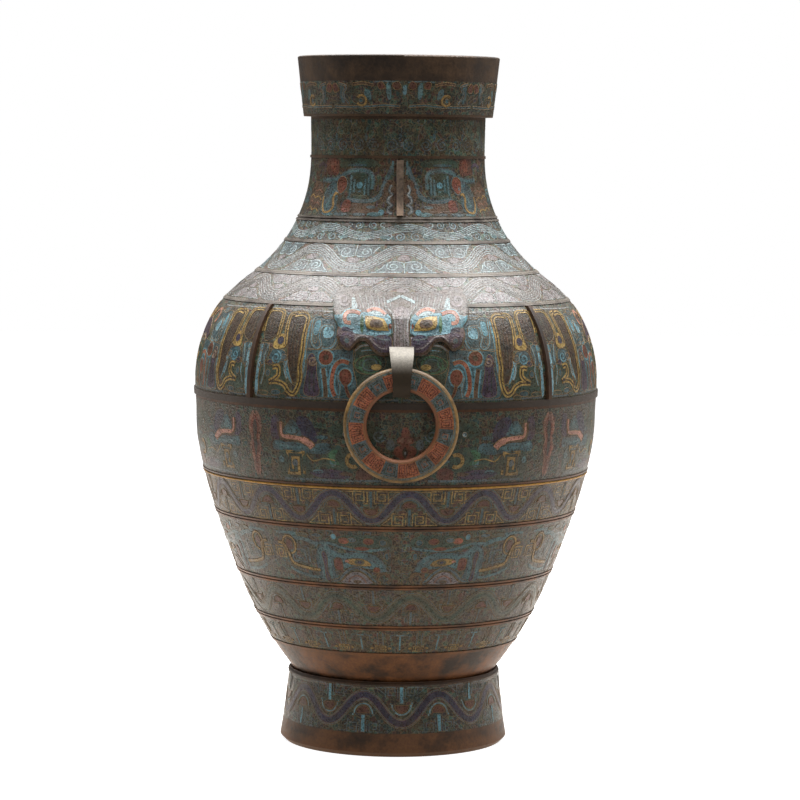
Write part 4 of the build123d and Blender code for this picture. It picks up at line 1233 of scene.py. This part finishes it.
def edgeDistance(x, z):
    point = Vector((x, z))
    nearest = 1e9
    for i, a in enumerate(maskEdge):
        b = maskEdge[(i + 1) % len(maskEdge)]
        along = b - a
        share = max(0.0, min(1.0, (point - a).dot(along) / max(along.length_squared, 1e-9)))
        nearest = min(nearest, (point - a - along * share).length)
    return nearest


# 1 at the middle of an oval on either side of the nose, 0 outside it
def bulge(x, z, oval):
    across, up, wide, high = oval
    return max(0.0, 1 - ((abs(x) - across) / wide) ** 2 - ((z - up) / high) ** 2)


def maskRise(x, z):
    inward = min(1.0, edgeDistance(x, z) / mask["edgeRound"])
    brow = max(0.0, min(1.0, (z - mask["browFrom"]) / mask["browReach"]))
    edgeRise = mask["edgeRise"] + (mask["browRise"] - mask["edgeRise"]) * brow
    relief = mask["relief"] + (mask["browRelief"] - mask["relief"]) * brow
    rise = edgeRise + (relief - edgeRise) * sqrt(1 - (1 - inward) ** 2)
    across = min(1.0, abs(x) / mask["noseHalf"])
    fade = max(0.0, min(1.0, (mask["noseTop"] - z) / mask["noseFade"]))
    rise += mask["noseRise"] * sqrt(1 - across * across) * fade * inward
    rise += mask["eyeRise"] * sqrt(bulge(x, z, mask["eye"]))
    rise += mask["jowlRise"] * bulge(x, z, mask["jowl"]) + mask["muzzleRise"] * bulge(x, z, mask["muzzle"])
    return rise - mask["cheekDip"] * bulge(x, z, mask["cheek"])


def onMask(x, z, lift):
    r = bodyRadius(z) + maskRise(x, z) + lift * mask["layers"]
    return Vector((x, -sqrt(r * r - x * x), z)) * mm


def maskBody():
    step = mask["grid"]
    inner = [Vector((x, z)) for x in np.arange(-mask["gridHalf"], mask["gridHalf"], step)
             for z in np.arange(mask["gridLow"], mask["gridHigh"], step) if edgeDistance(x, z) > step * 0.6]
    ring = [(i, (i + 1) % len(maskEdge)) for i in range(len(maskEdge))]
    flat, _, faces, _, _, _ = delaunay_2d_cdt(maskEdge + inner, ring, [], 1, 1e-4)
    bm = bmesh.new()
    top = [bm.verts.new(onMask(p.x, p.y, 0)) for p in flat]
    for face in faces:
        bm.faces.new([top[i] for i in face])
    # the rim goes back into the wall
    rim = [edge for edge in bm.edges if edge.is_boundary]
    skirt = bmesh.ops.extrude_edge_only(bm, edges=rim)["geom"]
    for vertex in (v for v in skirt if isinstance(v, bmesh.types.BMVert)):
        r = hypot(vertex.co.x, vertex.co.y)
        inside = (bodyRadius(vertex.co.z / mm) - mask["root"]) * mm
        vertex.co.x, vertex.co.y = vertex.co.x * inside / r, vertex.co.y * inside / r
    for v in list(bm.verts):
        if not v.link_faces:
            bm.verts.remove(v)
    bmesh.ops.recalc_face_normals(bm, faces=bm.faces)
    return meshFrom(bm, "maskBody")


def maskDrawing():
    half = newDrawing()
    # three fields: a pale fan of hair, the turquoise round the eyes, the plum muzzle and jowls
    patch(half, [(0, 407.6), (14, 408), (30, 409.2), (43, 411), (50, 411.6), (54, 409.2), (55.4, 403),
                 (56.6, 396), (57.2, 391), (54, 388.6), (40, 390.4), (28, 391.4), (14, 392), (8.4, 390),
                 (6.4, 383), (6.6, 373), (7, 358.8), (0, 358.8)], "ash", 1, False, False)
    patch(half, [(7, 375), (7.6, 386), (13, 392.8), (28, 391.8), (40, 391), (54, 389.2), (56.8, 389.4),
                 (56, 386), (53.8, 382.2), (52.4, 379.6), (46, 376), (36, 373.5), (24, 372.6), (14, 371.5)],
          "turquoise", 1, False)
    patch(half, [(7, 358.8), (8, 372), (14, 371.5), (24, 372.6), (36, 373.5), (46, 376), (52.4, 379.2),
                 (53.4, 375.6), (53.8, 371.6), (52.4, 367), (49.6, 363.2), (46.2, 361), (43, 360.8),
                 (41, 362.8), (38.2, 366.2), (34.4, 368.4), (29.6, 368.2), (26.4, 365.2), (24, 361.2),
                 (20.6, 358), (16.5, 356.6), (11.5, 356.8)], "heather", 1, False)
    stroke(half, [(53, 371.6), (51.6, 367.4), (48.8, 363.8), (45.6, 361.8), (43, 362), (40, 365.6),
                  (36, 369), (31.6, 370), (27.4, 368), (24.2, 363.4), (20.6, 359.4), (16.5, 358),
                  (9, 358.4)], 1.5, "brown", 3)
    # slanted eyes
    patch(half, [(10.6, 376.8), (12, 382), (15, 386.6), (22, 388.4), (30, 388.8), (30.2, 383), (28.5, 378.6),
                 (20, 376.8)], "gold", 3, False)
    patch(half, [(15.4, 381.6), (17, 385.4), (24, 386), (26.4, 383), (25, 380.2), (18, 379.4)], "brown", 4)
    spot(half, 20.8, 382.8, 5.4, 3.4, "bark", 5, False)
    stroke(half, [(13, 389.5), (17, 393.4), (23, 394.6), (28.5, 392.6)], 2.4, "salmon", 3,
           halo=(0.9, "dove"))
    field(half, [(14, 388.6), (18, 391.6), (24, 392.6), (28, 390.8), (22, 389.6)], "pale", 2)
    ribbon(half, [(34.4, 390.4), (39, 392), (44.6, 391.6), (47.6, 388), (46.4, 383.4), (42.4, 383)], 3.0,
           "salmon", 3, halo=(1.1, "sky"))
    stroke(half, [(34.4, 390.4), (39, 392), (43, 391.8)], 2.0, "coral", 4)
    field(half, [(32.5, 375), (33.5, 384), (36, 384), (39, 381), (43, 380), (41, 375)], "sky", 2)
    field(half, [(32, 376), (31.8, 388), (33.6, 389), (34.6, 382), (34, 376)], "green", 3)
    stroke(half, [(31.4, 377), (24, 374.8), (16, 374.4), (9, 375)], 1.7, "sky", 2)
    spot(half, 9.4, 380.6, 2.6, 4.6, "coral", 3, False)
    # muzzle and jowls
    field(half, [(8, 360), (9, 369), (12, 373), (18, 373.4), (24, 370), (22.6, 363), (16, 359.6)], "plum", 2)
    field(half, [(9, 367), (10, 372), (16, 373.2), (22, 371), (21, 368), (15, 365.4)], "indigo", 3)
    stroke(half, arcLine(45.4, 369.4, 4.6, 190, -100), 2.6, "plum", 3)
    spot(half, 45.6, 368.4, 4.0, 4.4, "teal", 2, False)
    field(half, [(39, 374), (43, 378.6), (49, 379.6), (50, 376.4), (45, 376)], "indigo", 2)
    stroke(half, [(12, 362), (18, 363), (23.4, 367.4), (28.6, 372), (35, 372.4), (40, 368.4)], 1.2,
           "mauve", 4)
    stroke(half, [(10, 369.5), (18, 370), (24, 373)], 1.1, "slate", 4)
    # fan of hair over the eyes, curls in the flared corners
    for i in range(14):
        stroke(half, [(8.4 + 2.3 * i, 394.8), (9 + 2.4 * i, 399.6), (9.4 + 2.55 * i, 404.6 + 0.1 * i)], 0.7,
               "dove" if i % 2 == 0 else "mauve", 2)
    stroke(half, scrollLine(48, 401.6, 5.2, 1.3, 200), 1.7, "mauve", 3)
    field(half, [(37.4, 393.4), (38.4, 402), (41.4, 403), (42, 394.6), (48, 393.6), (44, 392.4)], "pale", 2)
    stroke(half, [(5, 376), (5.6, 385), (8.6, 392), (13, 397)], 1.1, "dove", 3)
    stroke(half, [(0.4, 405), (6, 402.6), (12, 400)], 2.2, "pale", 3)
    patch(half, [(0, 358.8), (6.4, 358.8), (6.2, 372), (6, 383), (8, 390), (5, 395), (0, 397)], "mauve", 2,
          False, False)
    for x in (1.6, 4.0):
        stroke(half, [(x, 362), (x, 378), (x * 1.25, 390)], 0.8, "ash", 3)
    return mirrored(half)


maskCells = maskDrawing()
for name, turn in (("front", 0), ("back", 180)):
    mesh = roundTheAxis(name + "Mask", cellMesh(name + "MaskCells", maskCells, onMask, mask["grid"]),
                        wallMesh(name + "MaskWalls", maskCells, onMask), maskBody(), 1, 0.0, 70)
    # the cast plate keeps the bronze, the cells keep the glass
    mesh.materials.append(wallBronze)
    plate = len(mesh.materials) - 1
    tint = mesh.attributes["glaze"].data
    for face in mesh.polygons:
        if face.material_index == 0 and max(tint[face.vertices[0]].color[:3]) < 1e-6:
            face.material_index = plate
            face.use_smooth = True
    mesh.transform(Matrix.Rotation(radians(turn), 4, "Z"))
    finishPiece(addObject(name + "Mask", mesh), "vessel", "bronze", name + "_mask")
print("masks ready")


# Key fret in the ring handles: red and teal blocks in turn, between two bronze rims
ringLook = {"blocks": 8, "columns": 120, "turn": 9.0, "redShare": 0.56, "spread": 1.3, "rounding": 4.0,
            "border": 3.4, "blockFrom": 0.5, "blockTo": 2.4, "bandFrom": 2.2, "bandTo": 0.4, "fretDrop": 0.9,
            "fretTall": 0.56}


def ringFace(node, side):
    low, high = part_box(node)
    centre = (low + high) / 2
    outer = (high.z - low.z) / 2 / mm
    inner = min(hypot(v.co.x - centre.x, v.co.z - centre.z) for v in nodes[node].data.vertices) / mm
    outer, inner = outer + ringLook["spread"], inner - ringLook["spread"]
    middle = (outer + inner) / 2
    wide = outer - inner
    face = low.y if side < 0 else high.y

    def place(s, t, lift):
        angle, r = s / middle, inner + t
        inRound = max(0.0, ringLook["rounding"] - ringLook["border"] + ringLook["spread"] - min(t, wide - t))
        drop = ringLook["rounding"] - sqrt(ringLook["rounding"] ** 2 - inRound ** 2)
        return Vector((r * sin(angle), -r * cos(angle), lift - drop)) * mm
    length = 2 * pi * middle / ringLook["blocks"]
    drawing = newDrawing()
    red, teal = length * ringLook["redShare"], length * (1 - ringLook["redShare"])

    def block(start, end, colour, low, high):
        count = 8
        top = [(start + (end - start) * i / count, high) for i in range(count + 1)]
        bottom = [(end + (start - end) * i / count, low) for i in range(count + 1)]
        patch(drawing, top + bottom, colour, 1, False)
    block(-red / 2, red / 2, "ember", ringLook["blockFrom"], wide - ringLook["blockTo"])
    block(red / 2, red / 2 + teal, "slate", ringLook["blockFrom"], wide - ringLook["blockTo"])
    block(-red / 2, red / 2 + teal, "lagoon", wide - ringLook["bandFrom"], wide - ringLook["bandTo"])
    tealMiddle = red / 2 + teal / 2
    fretLevel, fretTall = wide / 2 - ringLook["fretDrop"], wide * ringLook["fretTall"]
    for flip in (1, -1):
        fret(drawing, flip * red * 0.24, fretLevel, red * 0.36, fretTall, 1.7, "brick", flip, 2, 0.8)
    fret(drawing, tealMiddle, fretLevel, teal * 0.62, fretTall, 1.9, "fern", 1, 2, 0.8)
    fret(drawing, tealMiddle, fretLevel, teal * 0.3, wide * 0.26, 1.9, "clay", 1, 3, 0.9)
    bm = bmesh.new()
    tint = bm.verts.layers.float_color.new("glaze")
    count = ringLook["columns"]
    rows = [[bm.verts.new(place(2 * pi * middle * i / count, t, 0)) for i in range(count)]
            for t in (0, wide)]
    for vertex in rows[0] + rows[1]:
        vertex[tint] = linear(glaze["umber"])
    for i in range(count):
        j = (i + 1) % count
        bm.faces.new([rows[0][i], rows[0][j], rows[1][j], rows[1][i]])
    bmesh.ops.recalc_face_normals(bm, faces=bm.faces)
    mesh = roundTheAxis(node, cellMesh("ringCells", drawing, place), wallMesh("ringWalls", drawing, place),
                        meshFrom(bm, "ringGround"), ringLook["blocks"], radians(ringLook["turn"]), 90)
    turn = Matrix.Rotation(radians(90), 4, "X")
    if side > 0:
        turn = Matrix.Rotation(pi, 4, "Z") @ turn
    mesh.transform(Matrix.Translation((centre.x, face, centre.z)) @ turn)
    return mesh


for name, front in (("front", -1), ("back", 1)):
    for layerName, side in (("face", front), ("reverse", -front)):
        node = f"{name}_ring_{layerName}_enamel"
        piece = addObject(f"{name}Ring{layerName.title()}Fret", ringFace(node, side))
        finishPiece(piece, name + "_ring", "ring_enamel", node)
print("rings ready")


# Raised lines between the bands: round gilt, copper or grey beads, worn bright on top; the shoulder beads'
# grey is a painted sheen
lines = {"round": 288, "section": 8, "bead": 0.55, "sink": 0.1, "edgeGap": 0.75, "narrowGap": 3.0,
         "singleBead": 1.3, "giltShift": 0.3, "wideGilt": 1.05, "thinGilt": 0.6}


def raisedLines(name, heights, material):
    bm = bmesh.new()
    angles = [2 * pi * i / lines["round"] for i in range(lines["round"])]
    for z, size in heights:
        radius = bodyRadius(z)
        rings = []
        for k in range(lines["section"]):
            turn = 2 * pi * k / lines["section"]
            r, h = radius + lines["sink"] + size * cos(turn), z + size * sin(turn)
            rings.append([bm.verts.new((r * mm * sin(angle), -r * mm * cos(angle), h * mm))
                          for angle in angles])
        for k in range(lines["section"]):
            a, b = rings[k], rings[(k + 1) % lines["section"]]
            for i in range(lines["round"]):
                j = (i + 1) % lines["round"]
                bm.faces.new([a[i], a[j], b[j], b[i]])
    bmesh.ops.recalc_face_normals(bm, faces=bm.faces)
    mesh = meshFrom(bm, name)
    for face in mesh.polygons:
        face.use_smooth = True
    mesh.materials.append(material)
    finishPiece(addObject(name, mesh), "vessel", "bronze")


# two beads along the edges of a wide gap between bands, or one in a narrow gap
def gapLines(lowBand, highBand):
    low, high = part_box(bands[lowBand]["node"])[1].z / mm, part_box(bands[highBand]["node"])[0].z / mm
    if high - low > lines["narrowGap"]:
        return [(low + lines["edgeGap"], lines["bead"]), (high - lines["edgeGap"], lines["bead"])]
    return [((low + high) / 2, lines["bead"] * lines["singleBead"])]


def allGapLines(*names):
    return sum((gapLines(low, high) for low, high in zip(names, names[1:])), [])


gilt = makeBronze("rubbedGiltLine", "#60451f", "#a87c37", 0.9, 0.3, 0.45)
copper = makeBronze("rubbedCopperLine", "#55392a", "#9a6c4a", 0.9, 0.2, 0.48)
# the shoulder beads are greyed to stand in for the sheen of the overhead light, a painted sheen
sheenGreyLine = makeBronze("sheenGreyShoulderLine", "#413a32", "#6e665b", 0.9, 0.3, 0.5)
lowGilt, highGilt = (z for z, size in gapLines("bellyWave", "bellyDragon"))
raisedLines("giltLines", [(lowGilt + lines["giltShift"], lines["wideGilt"]), (highGilt, lines["thinGilt"])],
            gilt)
raisedLines("copperLines", allGapLines("lappet", "lowerWave", "lowerDragon", "bellyWave"), copper)
shoulderGaps = allGapLines("panel", "lowShoulder", "midShoulder", "highShoulder", "neckDragon", "neckScroll")
raisedLines("shoulderLines", shoulderGaps, sheenGreyLine)
print("raised lines ready")

# Materials of the castings that keep their own solids
castMetals = {"foot_ring": footBronzeShadedBead, "base_plate": patinatedBronze, "belly": rubbedBronze,
              "shoulder": shoulderBronzePaintedSheen, "neck": patinatedBronze, "mouth_collar": patinatedBronze,
              "front_ring": ringBronze, "back_ring": ringBronze}
for node, metal in castMetals.items():
    nodes[node].data.materials.clear()
    nodes[node].data.materials.append(metal)


# Worn slimmer than their solids: the ribs and flanges all along, the straps towards the ring
slim = {"rib": 0.58, "flange": 0.78, "strapLow": 0.83, "strapFrom": 360.0, "strapTo": 338.0}


def narrowed(node, shareAt, metal):
    mesh = nodes[node].data.copy()
    low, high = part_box(node)
    middle = (low + high) / 2
    across = Vector((-middle.y, middle.x, 0)).normalized()
    for vertex in mesh.vertices:
        vertex.co -= across * vertex.co.dot(across) * (1 - shareAt(vertex.co.z / mm))
    mesh.materials.clear()
    mesh.materials.append(metal)
    words = node.split("_")
    name = words[0] + "".join(word.title() for word in words[1:])
    finishPiece(addObject(name, mesh), "vessel", "bronze", node)


def strapShare(z):
    return float(np.interp(z, [slim["strapTo"], slim["strapFrom"]], [slim["strapLow"], 1.0]))


for node in ("front_right_rib", "front_left_rib", "back_right_rib", "back_left_rib"):
    narrowed(node, lambda z: slim["rib"], ribBronze)
for node in ("front_flange", "back_flange"):
    narrowed(node, lambda z: slim["flange"], flangeBronze)
for node in ("front_strap", "back_strap"):
    narrowed(node, strapShare, strapMetalPaintedShade)
print("castings have their metals")


# Camera: a long lens, a little above the vessel's middle, seen a touch from the left
view = {"lens": 140.6, "sensor": 36, "place": (3.71, -2789.4, 532.24), "turn": -1.43, "pitch": 4.665,
        "roll": 0.5}
cameraData = bpy.data.cameras.new("photoCamera")
cameraData.lens = view["lens"]
cameraData.sensor_width = view["sensor"]
camera = addObject("photoCamera", cameraData)
turned = Matrix.Rotation(radians(view["turn"]), 4, "Z")
camera.matrix_world = (turned @ Matrix.Translation(Vector(view["place"]) * mm)
                       @ Matrix.Rotation(radians(90 - view["pitch"]), 4, "X")
                       @ Matrix.Rotation(radians(view["roll"]), 4, "Z"))
bpy.context.scene.camera = camera

# Light: a white tent, open and dark towards the camera, dark at the horizon and brighter on the right, with
# a broad lamp overhead, a weak one at each side and a fill from the front
light = {"tent": 0.2, "mirrored": 0.65, "opening": 0.06, "openFrom": -0.95, "openTo": 0.0, "horizon": 0.03,
         "horizonFrom": 0.12, "horizonTo": 0.4, "leftSide": 1.0, "rightSide": 1.8, "sideReach": 0.9,
         "overhead": 155.0, "overheadGloss": 3.1, "side": 0.3, "fill": 26.0, "aim": (0.0, 0.0, 0.35)}
lamps = (("overheadSoftbox", (2.7, 1.7), (0.05, 0.3, 2.0), light["overhead"]),
         ("leftSoftbox", (1.0, 0.3), (-1.2, 0.2, 0.05), light["side"]),
         ("rightSoftbox", (1.0, 0.3), (1.2, 0.2, 0.05), light["side"]),
         ("frontFill", (2.4, 1.6), (0.0, -2.6, 1.1), light["fill"]))
world = bpy.data.worlds.new("whiteTent")
bpy.context.scene.world = world
tree = clearedTree(world)
path = addNode(tree, "ShaderNodeLightPath").outputs
way = addNode(tree, "ShaderNodeSeparateXYZ", {
    0: addNode(tree, "ShaderNodeTexCoord").outputs["Generated"]}).outputs
openness = addNode(tree, "ShaderNodeMapRange", {
    "Value": way["Y"], "From Min": light["openFrom"], "From Max": light["openTo"],
    "To Min": light["opening"], "To Max": 1.0}).outputs[0]
horizon = addNode(tree, "ShaderNodeMapRange", {
    "Value": way["Z"], "From Min": light["horizonFrom"], "From Max": light["horizonTo"],
    "To Min": light["horizon"], "To Max": 1.0}).outputs[0]
openness = addNode(tree, "ShaderNodeMath", {0: openness, 1: horizon}, operation="MULTIPLY").outputs[0]
sideways = addNode(tree, "ShaderNodeMapRange", {
    "Value": way["X"], "From Min": -light["sideReach"], "From Max": light["sideReach"],
    "To Min": light["leftSide"], "To Max": light["rightSide"]}).outputs[0]
openness = addNode(tree, "ShaderNodeMath", {0: openness, 1: sideways}, operation="MULTIPLY").outputs[0]
mirror = addNode(tree, "ShaderNodeMath", {
    0: path["Is Glossy Ray"], 1: path["Is Transmission Ray"]}, operation="MAXIMUM").outputs[0]
level = addNode(tree, "ShaderNodeMapRange", {
    "Value": mirror, "To Min": light["tent"], "To Max": light["mirrored"]}).outputs[0]
level = addNode(tree, "ShaderNodeMath", {0: level, 1: openness}, operation="MULTIPLY").outputs[0]
strength = addNode(tree, "ShaderNodeMath", {
    0: level, 1: path["Is Camera Ray"]}, operation="MAXIMUM").outputs[0]
tent = addNode(tree, "ShaderNodeBackground", {"Color": (1, 1, 1, 1), "Strength": strength})
addNode(tree, "ShaderNodeOutputWorld", {"Surface": tent.outputs[0]})

for name, size, place, power in lamps:
    lamp = bpy.data.lights.new(name, "AREA")
    lamp.shape = "RECTANGLE"
    lamp.size, lamp.size_y = size
    lamp.energy = power
    lamp.specular_factor = light["overheadGloss"] if name == "overheadSoftbox" else 1.0
    lampObject = addObject(name, lamp)
    lampObject.location = place
    lampObject.visible_camera = False
    # the fill lights the colours without a reflection of its own
    lampObject.visible_glossy = name != "frontFill"
    lampObject.rotation_euler = (Vector(light["aim"]) - Vector(place)).to_track_quat("-Z", "Y").to_euler()

# Floor: white paper, which mirrors and reflects less in front of the vessel, and less far away
table = {"half": 6.0, "glow": 0.92, "frontGlow": 0.12, "glowFrom": -0.5, "glowTo": 0.25, "nearGlow": 1.4,
         "farGlow": 0.35, "near": 0.5, "far": 2.2, "frontGrey": 0.18, "backGrey": 0.5, "greyFrom": -0.55,
         "greyTo": 0.2, "tone": "#fde6cc"}
corners = [(x * table["half"], y * table["half"], 0) for x, y in ((-1, -1), (1, -1), (1, 1), (-1, 1))]
floorMesh = bpy.data.meshes.new("studioFloor")
floorMesh.from_pydata(corners, [], [(0, 1, 2, 3)])
floor = addObject("studioFloor", floorMesh)
paper = bpy.data.materials.new("whitePaper")
tree = clearedTree(paper)
path = addNode(tree, "ShaderNodeLightPath").outputs
onTable = addNode(tree, "ShaderNodeTexCoord").outputs["Object"]
along = addNode(tree, "ShaderNodeSeparateXYZ", {0: onTable}).outputs["Y"]
away = addNode(tree, "ShaderNodeVectorMath", {0: onTable}, operation="LENGTH").outputs["Value"]
# the shine fades far away, so upright walls mirror little at their sides
nearness = addNode(tree, "ShaderNodeMapRange", {
    "Value": away, "From Min": table["near"], "From Max": table["far"], "To Min": table["nearGlow"],
    "To Max": table["farGlow"]}).outputs[0]
# and in front, so the belly's lower front mirrors little of it
fromBehind = addNode(tree, "ShaderNodeMapRange", {
    "Value": along, "From Min": table["glowFrom"], "From Max": table["glowTo"], "To Min": table["frontGlow"],
    "To Max": 1.0}).outputs[0]
fromBehind = addNode(tree, "ShaderNodeMath", {0: fromBehind, 1: nearness}, operation="MULTIPLY").outputs[0]
glossed = addNode(tree, "ShaderNodeMath", {
    0: path["Is Glossy Ray"], 1: fromBehind}, operation="MULTIPLY").outputs[0]
seen = addNode(tree, "ShaderNodeMath", {
    0: path["Is Camera Ray"], 1: glossed}, operation="MAXIMUM").outputs[0]
shine = addNode(tree, "ShaderNodeMath", {0: seen, 1: table["glow"]}, operation="MULTIPLY").outputs[0]
grey = addNode(tree, "ShaderNodeMapRange", {
    "Value": along, "From Min": table["greyFrom"], "From Max": table["greyTo"], "To Min": table["frontGrey"],
    "To Max": table["backGrey"]}).outputs[0]
matt = addNode(tree, "ShaderNodeBsdfDiffuse", {"Color": grey}).outputs[0]
tone = addNode(tree, "ShaderNodeMix", {
    "Factor": path["Is Camera Ray"], 6: linear(table["tone"]), 7: (1, 1, 1, 1)}, data_type="RGBA").outputs[2]
glow = addNode(tree, "ShaderNodeEmission", {"Color": tone, "Strength": shine}).outputs[0]
both = addNode(tree, "ShaderNodeAddShader", {0: matt, 1: glow}).outputs[0]
addNode(tree, "ShaderNodeOutputMaterial", {"Surface": both})
floorMesh.materials.append(paper)

bpy.context.scene.view_settings.view_transform = "Standard"
